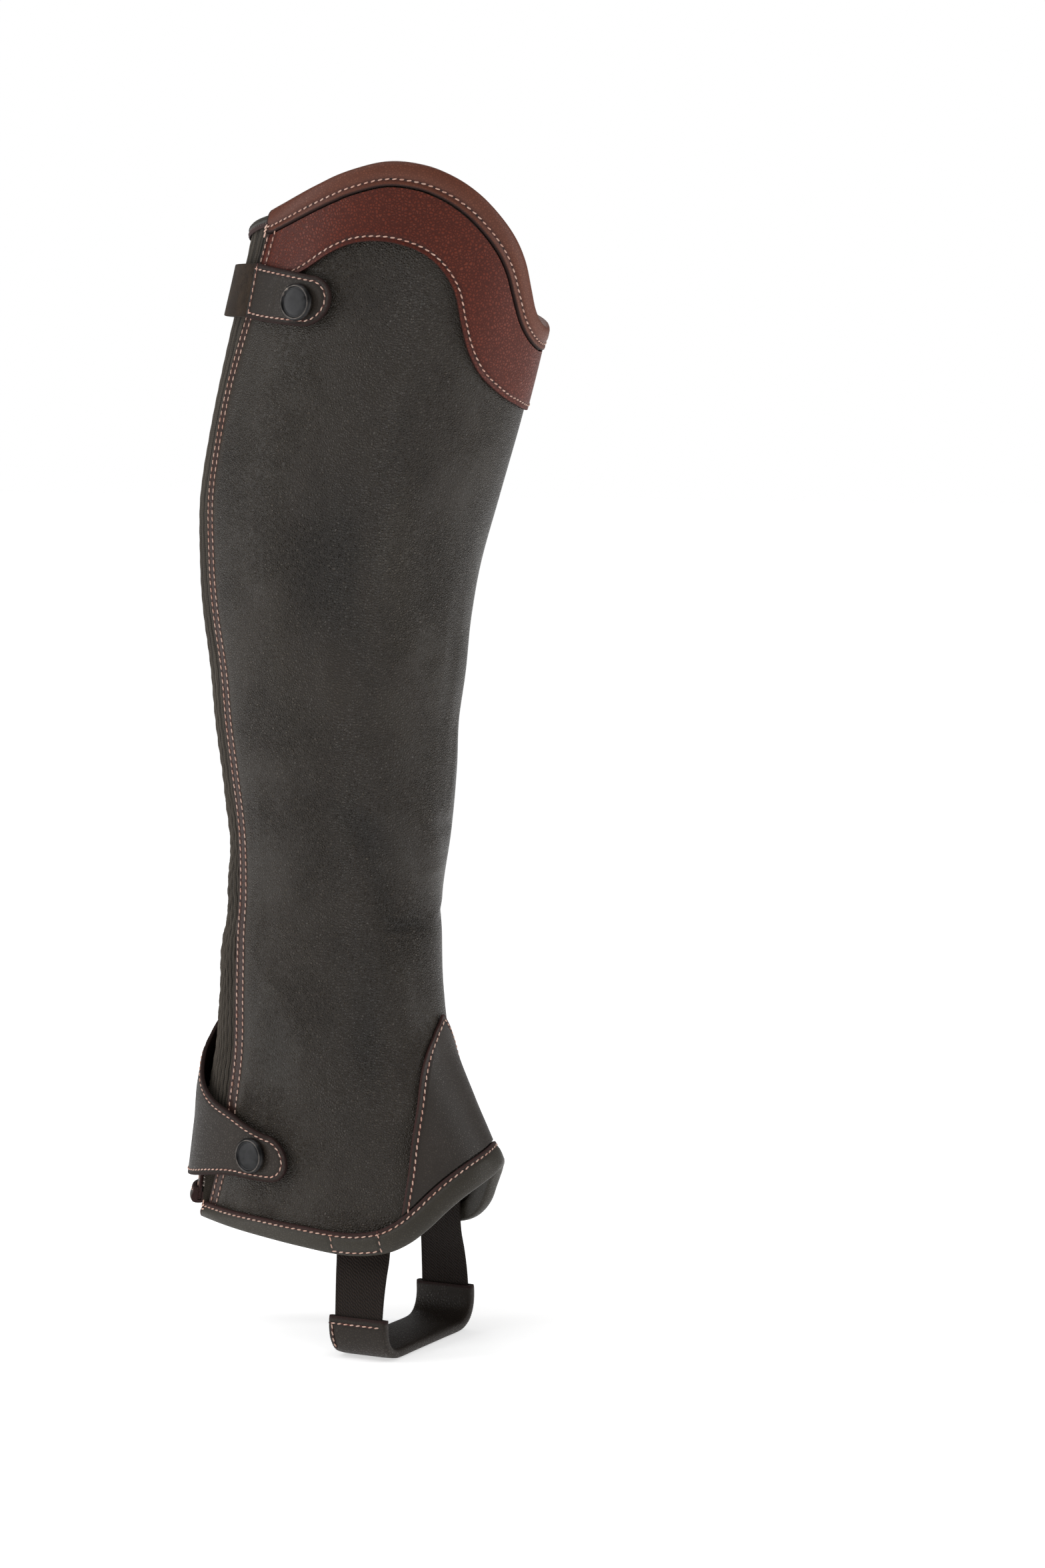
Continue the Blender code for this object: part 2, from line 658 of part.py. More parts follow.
def add_block(name, size, middle, finish, rounded=0.0):
    mesh = bmesh.new()
    bmesh.ops.create_cube(mesh, size=1)
    bmesh.ops.scale(mesh, vec=Vector(size) * MM, verts=mesh.verts[:])
    bmesh.ops.translate(mesh, vec=Vector(middle) * MM, verts=mesh.verts[:])
    if rounded:
        bmesh.ops.bevel(
            mesh, geom=mesh.edges[:], offset=rounded * MM, affect="EDGES", segments=1, profile=0.5, material=-1
        )
    return add_object(name, mesh, finish, smooth=False)


def add_slider():
    # Local axes: X across the zip, Y up it, Z out. The core runs between the two edges of the zip gap.
    frame = placed_frame(zip_angle(SLIDER_HEIGHT, 0), SLIDER_HEIGHT, 0)
    plate_low, plate_high = 0.5, 1.9
    core_low = -1.9
    leg = 1.3
    outer_half = 4.1
    plate = add_block(
        "zip_slider", (SLIDER_WIDE, SLIDER_LONG, plate_high - plate_low),
        (0, 0, (plate_low + plate_high) / 2), "metal", 0.4,
    )
    core = add_block(
        "slider_core", (4.8, SLIDER_LONG - 1.6, 1.0 - core_low), (0, 0, (1.0 + core_low) / 2), "metal"
    )
    bridge = add_block(
        "slider_bridge", (BRIDGE_WIDE, 2 * outer_half, BRIDGE_OUT - 1.0), (0, 0, (BRIDGE_OUT + 1.0) / 2),
        "metal", 0.4,
    )
    window_high = BRIDGE_OUT - 0.9
    window = add_block(
        "slider_window", (BRIDGE_WIDE * 2, 2 * (outer_half - leg), window_high - plate_high),
        (0, 0, (window_high + plate_high) / 2), "metal",
    )
    combine(bridge, window, "DIFFERENCE")
    combine(plate, core, "UNION")
    combine(plate, bridge, "UNION")
    for piece in (plate, core, bridge, window):
        piece.matrix_world = frame


def add_pull():
    # The pull hangs down the zip from a bar through the slider's bridge, and swings about that bar.
    bar = PULL_THICK / 2
    hinge = placed_frame(zip_angle(SLIDER_HEIGHT, 0), SLIDER_HEIGHT, 0)
    hinge = hinge @ Matrix.Translation(Vector((0, -HINGE_DOWN, HINGE_OUT)) * MM)
    middle = (bar - (PULL_LONG - bar)) / 2
    pull = add_block("zip_pull", (PULL_WIDE, PULL_LONG, PULL_THICK), (0, middle, 0), "metal", 0.35)
    eye = add_block(
        "pull_eye", (PULL_EYE_WIDE, PULL_EYE_LONG, 4 * PULL_THICK), (0, -bar - PULL_EYE_LONG / 2, 0), "metal"
    )
    grip = add_block("pull_grip", (PULL_WIDE - 3.4, 8.0, 0.6), (0, -PULL_LONG + 7.0, bar), "metal")
    combine(pull, eye, "DIFFERENCE")
    combine(pull, grip, "DIFFERENCE")
    for piece in (pull, eye, grip):
        piece.matrix_world = hinge


def build():
    for old in list(bpy.data.objects):
        bpy.data.objects.remove(old, do_unlink=True)
    shares = even_shares(TOP_EDGE, leg_angle, LEG_COLUMNS)
    add_leg_panel(shares)
    add_stretch_panel()
    add_binding(
        "top_binding", TOP_EDGE, leg_angle, shares, 1, top_depth, (LAYER_GAP, TOP_BINDING_THICK),
        (FACING_INNER - GAP, 1.2), "chestnut_leather",
    )
    add_binding(
        "bottom_binding", BOTTOM_EDGE, leg_angle, shares, -1, bottom_depth,
        (PATCH_LIFT, BOTTOM_BINDING_THICK), (-LEATHER - PATCH_LIFT, 1.2), "dark_leather",
    )
    few = [i / 14 for i in range(15)]
    add_binding(
        "stretch_binding", STRETCH_TOP, stretch_angle, few, 1, stretch_binding_depth, (GAP, 1.0),
        (STRETCH_INNER - GAP, 1.0), "dark_leather",
    )
    add_top_layers(shares)
    add_front_patch()
    add_zip_tape("zip_tape_outer", GAP / 2, TAPE_WIDE)
    add_zip_tape("zip_tape_inner", -TAPE_WIDE, -GAP / 2)
    add_tab("upper_tab_elastic", UPPER_ELASTIC, 0, ELASTIC_THICK, 14, "webbing")
    add_tab("upper_tab", UPPER_TAB, 10.4, TAB_THICK, 6, "dark_leather")
    add_tab("lower_tab", LOWER_TAB, 10.0, TAB_THICK, 20, "dark_leather")
    add_press_studs()
    add_foot_strap()
    add_slider()
    add_pull()


build()
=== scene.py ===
import bmesh
import bpy
from math import ceil, cos, floor, hypot, pi, radians, sin, sqrt
from mathutils import Matrix, Vector, kdtree


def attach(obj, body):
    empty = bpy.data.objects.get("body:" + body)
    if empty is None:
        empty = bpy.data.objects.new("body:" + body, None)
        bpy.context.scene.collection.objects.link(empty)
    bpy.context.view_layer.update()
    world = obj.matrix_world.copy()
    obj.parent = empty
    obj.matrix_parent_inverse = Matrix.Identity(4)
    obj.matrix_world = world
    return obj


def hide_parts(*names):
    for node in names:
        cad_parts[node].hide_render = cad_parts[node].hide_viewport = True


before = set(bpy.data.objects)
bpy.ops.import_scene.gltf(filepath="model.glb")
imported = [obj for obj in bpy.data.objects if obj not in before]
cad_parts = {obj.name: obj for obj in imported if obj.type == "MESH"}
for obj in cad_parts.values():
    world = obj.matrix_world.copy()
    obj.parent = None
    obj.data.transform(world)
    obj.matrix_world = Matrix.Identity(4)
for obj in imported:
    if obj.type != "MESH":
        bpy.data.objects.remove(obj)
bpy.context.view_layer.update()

mm = 0.001
print("half chap: frame loaded")

# The leg inside the chap. Sizes are in mm. A place is an angle and a height: 0 degrees is the back,
# 90 the outer side, 180 the front and 270 the inner side; a height starts at the ground under the boot.
legForm = {
    "ankle": 110.0,
    # height, centre, half width, back, front, taper of the front quarter
    "sections": [
        (40, -16.0, 42.5, 87.5, 80.0, 0.16), (62, -12.0, 42.0, 79.5, 75.0, 0.16),
        (86, -8.1, 41.2, 71.4, 70.0, 0.16), (100, -5.2, 40.6, 66.3, 66.0, 0.15),
        (114, -2.5, 40.2, 62.0, 61.5, 0.13), (137, 0.4, 39.8, 54.2, 54.0, 0.10),
        (161, 1.6, 39.5, 51.2, 51.2, 0.07), (184, 0.9, 39.5, 49.5, 49.5, 0.05),
        (203, -0.7, 40.0, 48.0, 48.0, 0.04), (229, -2.8, 42.0, 49.8, 49.8, 0.03),
        (256, -2.4, 44.5, 52.6, 52.6, 0.02), (276, -1.5, 46.5, 54.2, 54.2, 0.02),
        (298, -2.4, 49.4, 56.6, 56.6, 0.02), (322, -2.2, 52.4, 59.3, 59.3, 0.02),
        (343, -3.6, 54.6, 61.8, 61.8, 0.03), (372, -8.5, 56.8, 66.0, 66.0, 0.04),
        (408, -17.8, 57.0, 68.4, 68.4, 0.05), (443, -25.4, 56.5, 66.9, 70.6, 0.06),
        (470, -30.0, 56.5, 63.8, 70.4, 0.06), (520, -36.0, 56.5, 57.5, 69.5, 0.06),
    ],
    # height, angle
    "seam": [
        (60, 38.5), (76, 43.5), (90, 47.5), (110, 52), (131, 54.5), (165, 54.5), (205, 51), (250, 50),
        (300, 50), (350, 47.5), (380, 45), (412, 44), (443, 48.5), (470, 55), (500, 61),
    ],
    "zip": [
        (56, 30), (86, 29), (110, 22), (130, 18), (165, 12), (205, 7), (250, 4), (300, 2), (372, -2),
        (443, -4), (500, -1),
    ],
    "seamHalfGap": 0.3,
    "zipHalfGap": 3.4,
}

# Folds and creases: angle, height, half width, half length, tilt from upright, how far it stands out
foldTable = {
    "radius": 50.0,
    "folds": [
        (116, 345, 15, 82, 2, -1.3), (136, 352, 14, 66, -4, 1.1), (92, 300, 13, 60, -5, 0.7),
        (134, 231, 12, 40, -56, -1.5), (166, 233, 12, 30, -35, 0.9), (166, 192, 10, 20, -78, -0.9),
        (104, 172, 13, 38, -38, 1.0), (129, 146, 13, 42, 4, -1.2), (84, 140, 13, 34, 12, -0.8),
        (224, 355, 15, 58, -12, -1.3), (246, 330, 13, 64, -8, 1.0), (268, 300, 14, 62, 5, -0.9),
        (236, 236, 12, 42, 38, -1.2), (262, 205, 12, 36, 44, 0.9), (290, 215, 13, 50, 10, -0.8),
        (228, 165, 12, 34, -20, -0.9),
    ],
    "creases": [
        (122, 396, 7.5, 44, 4, 0.9), (129, 300, 8.0, 48, -8, -0.6), (102, 350, 9.0, 85, 1, -0.8),
        (137, 350, 6.0, 26, 4, 0.6), (86, 372, 7.0, 50, -3, 0.5), (112, 296, 6.5, 40, -6, 0.5),
        (147, 316, 8.5, 50, -6, 0.6), (159, 372, 7.0, 38, 8, 0.45), (98, 254, 7.5, 40, -12, -0.5),
        (140, 205, 9.0, 44, -25, -1.0), (149, 221, 6.5, 30, -36, 0.85), (155, 191, 4.6, 20, -85, -0.85),
        (152, 170, 5.5, 22, -14, 0.75), (150, 146, 6.5, 20, 2, 0.5), (104, 165, 7.5, 30, -30, -0.85),
        (71, 186, 5.5, 24, 2, 0.55), (84, 163, 6.5, 32, -40, 0.8), (71, 238, 6.0, 18, 6, 0.5),
        (116, 172, 11.0, 32, -8, -0.6), (100, 214, 8.0, 34, -24, -0.45), (97, 128, 7.5, 30, 14, 0.5),
        (112, 108, 8.0, 28, 16, -0.6), (141, 112, 7.5, 28, -10, 0.5), (166, 150, 5.0, 16, -50, -0.5),
        (176, 300, 7.0, 50, 2, -0.5), (192, 262, 6.0, 38, 10, 0.4),
        (206, 300, 7.0, 46, -6, -0.5), (216, 206, 6.5, 32, 36, -0.8), (200, 194, 5.0, 20, 70, -0.6),
        (229, 222, 6.5, 30, 40, 0.7), (248, 262, 7.0, 38, 20, 0.5), (256, 172, 6.0, 28, 34, -0.7),
        (240, 158, 6.0, 24, 12, 0.6), (275, 250, 7.5, 42, 8, -0.5), (283, 168, 6.5, 30, -10, 0.5),
        (300, 300, 7.0, 46, -4, 0.5), (241, 388, 7.5, 40, -6, 0.6), (262, 356, 7.0, 36, 4, -0.5),
        (288, 380, 7.0, 34, 6, -0.45), (312, 250, 7.5, 42, 4, -0.5), (322, 180, 6.0, 30, -12, 0.5),
        (184, 233, 6.0, 20, 88, -0.6), (181, 214, 5.0, 18, 84, 0.45),
    ],
}

# Layers, as depths outside the main leather's outer face (minus is towards the leg)
layers = {
    "leather": 1.6, "layerGap": 0.42, "overlay": 1.1, "stretchCrest": -0.1, "stretchValley": -0.9,
    "stretchInner": -2.0, "facingOuter": -2.02, "facingInner": -2.92, "tapeOuter": -2.6, "tapeInner": -3.3,
    "edgeRoom": 1.6,
}

# Finished edges: angle, height
edges = {
    "top": [
        (59, 490), (69, 493.5), (83, 499.5), (96, 505), (109, 508.2), (122, 506.4), (133, 501.5),
        (143, 494.5), (152, 486), (160, 477), (166, 468), (171, 458), (176, 450), (183, 445), (192, 443),
        (204, 444), (230, 450), (270, 461), (310, 472), (340, 480), (355, 483.5),
    ],
    "bottom": [
        (36, 59.5), (49, 59), (70, 57), (84, 55.1), (99, 53), (107, 53), (116, 54.9), (124, 59),
        (132, 64.8), (142, 72.4), (152, 78), (165, 82.6), (180, 85.6), (192, 86.5), (204, 84.5), (214, 79.5),
        (222, 73.5), (230, 65.5), (238, 59), (245, 55.3), (253, 53.6), (262, 54), (276, 57), (294, 59.5),
        (318, 61), (345, 62.4), (366, 63.2), (387, 63.2),
    ],
    "stretchTop": [(-2, 482.5), (15, 483.5), (30, 485), (45, 487), (61, 489)],
    "stretchBottom": [(31, 64), (42, 62.7)],
    "band": [
        (50, 455), (66, 459), (80, 464), (93, 472.5), (100, 475.4), (108, 476), (116, 474.4),
        (124, 470.6), (131, 464), (136.5, 455), (140, 444.5), (145, 433), (152, 423.5), (161, 417),
        (174, 411.5), (197, 408), (220, 411.5), (270, 425), (310, 435.5), (340, 443), (356, 446.5),
    ],
    "facing": [(50, 453), (75, 447), (113, 440), (150, 424), (180, 411), (200, 410), (270, 425), (330, 447),
               (356, 453)],
}


def smoothCurve(table, at, column=1):
    # a smooth curve through one column of a table, over its first column
    at = min(max(at, table[0][0]), table[-1][0])
    spot = 0
    while spot < len(table) - 2 and at > table[spot + 1][0]:
        spot += 1
    first, last = table[spot], table[spot + 1]
    before, after = table[max(spot - 1, 0)], table[min(spot + 2, len(table) - 1)]
    run = last[0] - first[0]
    start, end = first[column], last[column]
    leave = (end - before[column]) / (last[0] - before[0]) * run
    arrive = (after[column] - start) / (after[0] - first[0]) * run
    t = (at - first[0]) / run
    curve = (2 * t**3 - 3 * t**2 + 1) * start + (t**3 - 2 * t**2 + t) * leave
    return curve + (3 * t**2 - 2 * t**3) * end + (t**3 - t**2) * arrive


def between(start, end, share):
    return start + (end - start) * share


def ramped(value, low, high):
    return min(max((value - low) / (high - low), 0.0), 1.0)


def byHeight(measure):
    # keeps a measure for every half millimetre of height, and blends between two of them
    known = {}

    def at(height):
        low = floor(height * 2)
        for step in (low, low + 1):
            if step not in known:
                known[step] = measure(step / 2)
        share = height * 2 - low
        return [a + (b - a) * share for a, b in zip(known[low], known[low + 1])]

    return at


sectionAt = byHeight(lambda height: [smoothCurve(legForm["sections"], height, n) for n in range(1, 6)])


def legPoint(angle, height):
    centre, halfWidth, back, front, taper = sectionAt(height)
    turn = radians(angle)
    ahead = min(cos(turn), 0.0)
    depth = front if ahead < 0 else back
    across = -halfWidth * sin(turn) * (1 - taper * ahead**2)
    return Vector((across, centre + depth * cos(turn), height - legForm["ankle"]))


def legPlace(angle, height):
    # the point on the form, its run for one degree round the leg, and its normal
    roundLeg = legPoint(angle + 0.5, height) - legPoint(angle - 0.5, height)
    upLeg = legPoint(angle, height + 1) - legPoint(angle, height - 1)
    return legPoint(angle, height), roundLeg, roundLeg.cross(upLeg).normalized()


foldShapes = [
    (angle, height, cos(radians(tilt)), sin(radians(tilt)), halfWide, halfLong, out)
    for angle, height, halfWide, halfLong, tilt, out in foldTable["folds"] + foldTable["creases"]
]


def foldOut(angle, height):
    total = 0.0
    for middle, level, straight, aslant, halfWide, halfLong, out in foldShapes:
        along = height - level
        across = radians(angle - middle) * foldTable["radius"]
        reach = max(halfWide, halfLong)
        if abs(along) < reach and abs(across) < reach:
            aside = (across * straight - along * aslant) / halfWide
            onward = (across * aslant + along * straight) / halfLong
            total += out * max(0.0, 1 - aside**2 - onward**2) ** 2
    return total


def layOn(angle, height, out):
    point, _, normal = legPlace(angle, height)
    return (point + normal * (out + foldOut(angle, height))) * mm


def perDegree(angle, height):
    return (legPoint(angle + 0.5, height) - legPoint(angle - 0.5, height)).length


def besideLine(line, height, aside):
    angle = smoothCurve(legForm[line], height)
    return angle + aside / perDegree(angle, height)


panelSides = byHeight(lambda height: [
    besideLine("seam", height, legForm["seamHalfGap"]), besideLine("zip", height, -legForm["zipHalfGap"]) + 360,
    besideLine("zip", height, legForm["zipHalfGap"]), besideLine("seam", height, -legForm["seamHalfGap"]),
])


def legAngle(share, height):
    # across the main leather: 0 at its outer seam, 1 at the zip, nearly a full turn further round
    sides = panelSides(height)
    return between(sides[0], sides[1], share)


def stretchAngle(share, height):
    sides = panelSides(height)
    return between(sides[2], sides[3], share)


def edgeAt(table, angleAt, share):
    height = between(table[0][1], table[-1][1], share)
    for _ in range(8):
        height = smoothCurve(table, angleAt(share, height))
    return angleAt(share, height), height


def edgeFrame(table, angleAt, share):
    # a place on an edge with the direction of the edge there, to lay rows square to it
    angle, height = edgeAt(table, angleAt, share)
    ahead, behind = (edgeAt(table, angleAt, min(max(share + step, 0), 1)) for step in (0.004, -0.004))
    scale = perDegree(angle, height)
    along, rise = (ahead[0] - behind[0]) * scale, ahead[1] - behind[1]
    length = hypot(along, rise)
    return share, angleAt, angle, height, scale, along / length, rise / length


def inset(spot, inward):
    # that place moved into the panel by inward, which is minus for a lower edge
    share, angleAt, angle, height, scale, along, rise = spot
    if share in (0, 1):
        return angleAt(share, height - inward), height - inward
    return angle + inward * rise / scale, height - inward * along


# Cutting grids: shares of a length with more lines close to its edges
nearEdge = [0.0, 0.18, 0.45, 0.9, 1.5, 2.2, 3.0, 4.0, 5.2]


def spacedShares(length, step, start=nearEdge, end=nearEdge):
    middle = length - start[-1] - end[-1]
    count = max(1, ceil(middle / step))
    inner = [start[-1] + middle * i / count for i in range(1, count)]
    return [d / length for d in [*start, *inner, *(length - d for d in reversed(end))]]


def rolledEdge(gap, radius):
    # how far the surface drops at this distance from a cut edge
    if gap >= radius:
        return 0.0
    return radius - sqrt(max(0.0, radius**2 - (radius - gap) ** 2))


# Filled as the pieces are made: places of rows and of cut edges on each cloth, and the cloths themselves
rowPoints = {}
edgePoints = {}
clothPieces = []


def finishMesh(name, mesh, material, replaced, body="chap", sharp=50, turnOut=True):
    if turnOut:
        bmesh.ops.recalc_face_normals(mesh, faces=mesh.faces[:])
        if mesh.calc_volume(signed=True) < 0:
            bmesh.ops.reverse_faces(mesh, faces=mesh.faces[:])
    data = bpy.data.meshes.new(name)
    mesh.to_mesh(data)
    mesh.free()
    data.shade_smooth()
    data.set_sharp_from_angle(angle=radians(sharp))
    data.materials.append(material)
    piece = bpy.data.objects.new(name, data)
    bpy.context.scene.collection.objects.link(piece)
    if replaced:
        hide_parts(replaced)
    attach(piece, body)
    return piece


def sewnSheet(name, across, along, place, skins, raw=(), ribs=None):
    # A closed sheet: a grid is extruded once and both its skins are laid on the form. raw names the
    # sides that stay as cut edges; ribs tells how high on a rib each place lies.
    mesh = bmesh.new()
    ribHigh = mesh.verts.layers.float.new("ribHigh") if ribs else None
    foldHigh = mesh.verts.layers.float.new("foldHigh")
    flat = mesh.loops.layers.uv.new("flat")
    columns, rows = len(across) - 1, len(along) - 1
    bmesh.ops.create_grid(mesh, x_segments=columns, y_segments=rows, size=0.5)
    grown = bmesh.ops.extrude_face_region(mesh, geom=mesh.faces[:])
    under = {item for item in grown["geom"] if isinstance(item, bmesh.types.BMVert)}
    laid, spread = {}, {}
    for vert in mesh.verts:
        spot = round((vert.co.x + 0.5) * columns), round((vert.co.y + 0.5) * rows)
        if spot not in laid:
            u, v = across[spot[0]], along[spot[1]]
            angle, height = place(u, v)
            outer, inner = skins(u, v, angle, height)
            point, _, normal = legPlace(angle, height)
            fold = foldOut(angle, height)
            laid[spot] = (
                (point + normal * (outer + fold)) * mm, (point + normal * (inner + fold)) * mm,
                (radians(angle) * foldTable["radius"] * mm, height * mm), fold,
            )
        if ribs:
            vert[ribHigh] = ribs(across[spot[0]], along[spot[1]])
        vert[foldHigh] = laid[spot][3]
        spread[vert] = laid[spot][2]
        vert.co = laid[spot][1 if vert in under else 0]
    for face in mesh.faces:
        for loop in face.loops:
            loop[flat].uv = spread[loop.vert]
    cut = edgePoints.setdefault(name, [])
    sides = {"start": (0, None), "end": (columns, None), "low": (None, 0), "high": (None, rows)}
    for side in raw:
        column, row = sides[side]
        cut.extend(found[0] for (i, j), found in laid.items() if i == column or j == row)
    return mesh


def sweptStrip(rings, closedEnds=True):
    # A strip whose closed section is carried from ring to ring. Without ends it runs back into itself.
    mesh = bmesh.new()
    flat = mesh.loops.layers.uv.new("flat")
    columns = len(rings) - (1 if closedEnds else 0)
    rows = len(rings[0])
    bmesh.ops.create_grid(mesh, x_segments=columns, y_segments=rows, size=0.5)
    run = [0.0]
    for here, there in zip(rings, [*rings[1:], rings[0]]):
        run.append(run[-1] + (there[0] - here[0]).length)
    side = [0.0]
    middle = rings[len(rings) // 2]
    for here, there in zip(middle, [*middle[1:], middle[0]]):
        side.append(side[-1] + (there - here).length)
    for face in mesh.faces:
        for loop in face.loops:
            column = round((loop.vert.co.x + 0.5) * columns)
            row = round((loop.vert.co.y + 0.5) * rows)
            loop[flat].uv = (side[row], run[column])
    for vert in mesh.verts:
        column = round((vert.co.x + 0.5) * columns) % len(rings)
        row = round((vert.co.y + 0.5) * rows) % rows
        vert.co = rings[column][row]
    bmesh.ops.remove_doubles(mesh, verts=mesh.verts[:], dist=0.000002)
    if closedEnds:
        bmesh.ops.holes_fill(mesh, edges=[edge for edge in mesh.edges if edge.is_boundary])
    return mesh


# Materials. Each one is a finish on this pair's cloth, leather or metal; sizes in mm are turned to metres.
def newMaterial(name):
    material = bpy.data.materials.new(name)
    material.use_nodes = True
    tree = material.node_tree
    place = node(tree, "ShaderNodeTexCoord").outputs["Object"]
    return material, tree, tree.nodes["Principled BSDF"], place


def node(tree, kind, sockets=None, **settings):
    made = tree.nodes.new(kind)
    for key, value in settings.items():
        setattr(made, key, value)
    for key, value in (sockets or {}).items():
        if isinstance(value, bpy.types.NodeSocket):
            tree.links.new(value, made.inputs[key])
        else:
            made.inputs[key].default_value = value
    return made


def math(tree, operation, first, second=0.0):
    return node(tree, "ShaderNodeMath", {0: first, 1: second}, operation=operation).outputs[0]


def plus(tree, first, second):
    return math(tree, "ADD", first, second)


def times(tree, first, second):
    return math(tree, "MULTIPLY", first, second)


def noise(tree, place, scale, detail=2.0, **more):
    return node(tree, "ShaderNodeTexNoise", {"Vector": place, "Scale": scale, "Detail": detail, **more}).outputs[0]


def ramp(tree, value, low, high, toLow=0.0, toHigh=1.0):
    sockets = {0: value, 1: low, 2: high, 3: toLow, 4: toHigh}
    return node(tree, "ShaderNodeMapRange", sockets, interpolation_type="SMOOTHSTEP").outputs[0]


def blendColour(tree, share, first, second):
    mixed = node(tree, "ShaderNodeMix", data_type="RGBA", blend_type="MIX")
    for number, value in ((0, share), (6, first), (7, second)):
        if isinstance(value, bpy.types.NodeSocket):
            tree.links.new(value, mixed.inputs[number])
        else:
            mixed.inputs[number].default_value = value if number == 0 else (*value, 1)
    return mixed.outputs[2]


def attribute(tree, name):
    return node(tree, "ShaderNodeAttribute", attribute_name=name).outputs["Fac"]


def flatLay(tree):
    # across and along a strip or a cut piece, as laid flat
    flat = node(tree, "ShaderNodeUVMap", uv_map="flat").outputs[0]
    return node(tree, "ShaderNodeSeparateXYZ", {0: flat}).outputs[:2]


def dress(tree, shader, tone, relief, plain):
    # a finish's colour, its relief as height, strength and depth, and its plain values
    tree.links.new(tone, shader.inputs["Base Color"])
    height, strength, deep = relief
    bump = node(tree, "ShaderNodeBump", {"Strength": strength, "Distance": deep, "Height": height})
    tree.links.new(bump.outputs[0], shader.inputs["Normal"])
    for name, value in plain.items():
        shader.inputs[name].default_value = value


def leather(name, look):
    # Full-grain leather: rounded pebbles between fine valleys, pores, soft mottling, rows of stitches
    # that pull it in, and a raw edge in its own colour.
    material, tree, shader, place = newMaterial(name)
    stitchGap, edgeGap, foldHigh = (attribute(tree, title) for title in ("stitchGap", "edgeGap", "foldHigh"))
    warp = node(tree, "ShaderNodeTexNoise", {"Vector": place, "Scale": 240.0, "Detail": 2.0}).outputs["Color"]
    push = node(tree, "ShaderNodeVectorMath", {0: warp, 1: (0.5, 0.5, 0.5)}, operation="SUBTRACT").outputs[0]
    push = node(tree, "ShaderNodeVectorMath", {0: push, "Scale": look["cell"] * mm * 1.1}, operation="SCALE")
    moved = node(tree, "ShaderNodeVectorMath", {0: place, 1: push.outputs[0]}, operation="ADD").outputs[0]
    grid = {"Vector": moved, "Scale": 1 / (look["cell"] * mm)}
    cells = node(tree, "ShaderNodeTexVoronoi", grid, feature="DISTANCE_TO_EDGE").outputs["Distance"]
    finer = {"Vector": moved, "Scale": 2.3 / (look["cell"] * mm), "Smoothness": 0.5}
    small = node(tree, "ShaderNodeTexVoronoi", finer, feature="SMOOTH_F1").outputs["Distance"]
    oneByOne = node(tree, "ShaderNodeTexVoronoi", grid, feature="F1").outputs["Color"]
    chance = node(tree, "ShaderNodeSeparateXYZ", {0: oneByOne}).outputs[0]
    pebble = ramp(tree, cells, 0.0, 0.42)
    fine = math(tree, "SUBTRACT", 1.0, ramp(tree, small, 0.1, 0.8))
    pores = noise(tree, place, 3400.0)
    patches = noise(tree, place, look["patchScale"], 3.0, Roughness=0.55)
    broad = noise(tree, place, 11.0)

    # relief: the grain lies flat beside a row, and the row itself sinks in
    ridge = ramp(tree, foldHigh, 0.1, 1.3)
    firm = ramp(tree, plus(tree, patches, times(tree, ridge, 0.25)), 0.35, 0.72, look["grainLeast"], 1.0)
    height = plus(tree, times(tree, pebble, 0.9), times(tree, fine, 0.1))
    height = times(tree, times(tree, height, firm), look["relief"])
    height = times(tree, height, ramp(tree, stitchGap, 0.0012, 0.0060, 0.12, 1.0))
    height = plus(tree, height, times(tree, pores, look["pores"]))
    groove = ramp(tree, stitchGap, 0.0, 0.0019, 1.0, 0.0)
    height = math(tree, "SUBTRACT", height, times(tree, groove, look["groove"]))

    # colour: painted shade in the folds, between the pebbles and along the rows; painted highlights on the fold
    # ridges and on scattered pebble tops
    tone = blendColour(tree, ramp(tree, broad, 0.36, 0.66), look["deep"], look["light"])
    tone = blendColour(tree, times(tree, ramp(tree, patches, 0.35, 0.75), 0.25), tone, look["warm"])
    # painted shade: the fold troughs darkened towards the shade colour
    tone = blendColour(tree, ramp(tree, foldHigh, -1.8, 0.05, look["troughShade"], 0.0), tone, look["shade"])
    # painted highlight: the fold ridges lightened towards the top colour
    tone = blendColour(tree, times(tree, ridge, look["crestHighlight"]), tone, look["top"])
    # painted shade between the pebbles
    valleyShade = times(tree, math(tree, "SUBTRACT", 1.0, pebble), look["valleyShade"])
    tone = blendColour(tree, valleyShade, tone, look["shade"])
    clearOfRows = ramp(tree, stitchGap, 0.0015, 0.0060)
    # painted glints: the pebble tops of scattered cells lightened towards the top colour, where the grain is firm and
    # clear of the rows
    paintedGlint = times(tree, ramp(tree, chance, 0.5, 0.95), pebble)
    paintedGlint = times(tree, paintedGlint, times(tree, firm, clearOfRows))
    tone = blendColour(tree, times(tree, paintedGlint, look["paintedGlint"]), tone, look["top"])
    # painted shade in the grooves along the rows
    tone = blendColour(tree, times(tree, groove, 0.5), tone, look["shade"])
    if "seamStrip" in look:
        strip = ramp(tree, edgeGap, look["seamStrip"] * mm, (look["seamStrip"] + 0.8) * mm, 0.55, 0.0)
        tone = blendColour(tree, strip, tone, look["edge"])
    rawEdge = ramp(tree, edgeGap, look["edgeFrom"] * mm, look["edgeTo"] * mm, 1.0, 0.0)
    tone = blendColour(tree, rawEdge, tone, look["edge"])

    polish = ramp(tree, pebble, 0.0, 1.0, look["dull"], look["gloss"])
    polish = plus(tree, polish, ramp(tree, broad, 0.3, 0.7, -0.03, 0.04))
    polish = plus(tree, polish, times(tree, rawEdge, 0.25))
    polish = math(tree, "SUBTRACT", polish, times(tree, paintedGlint, 0.12))
    tree.links.new(polish, shader.inputs["Roughness"])
    dress(tree, shader, tone, (height, 1.0, mm), {"Specular IOR Level": look["shine"]})
    return material
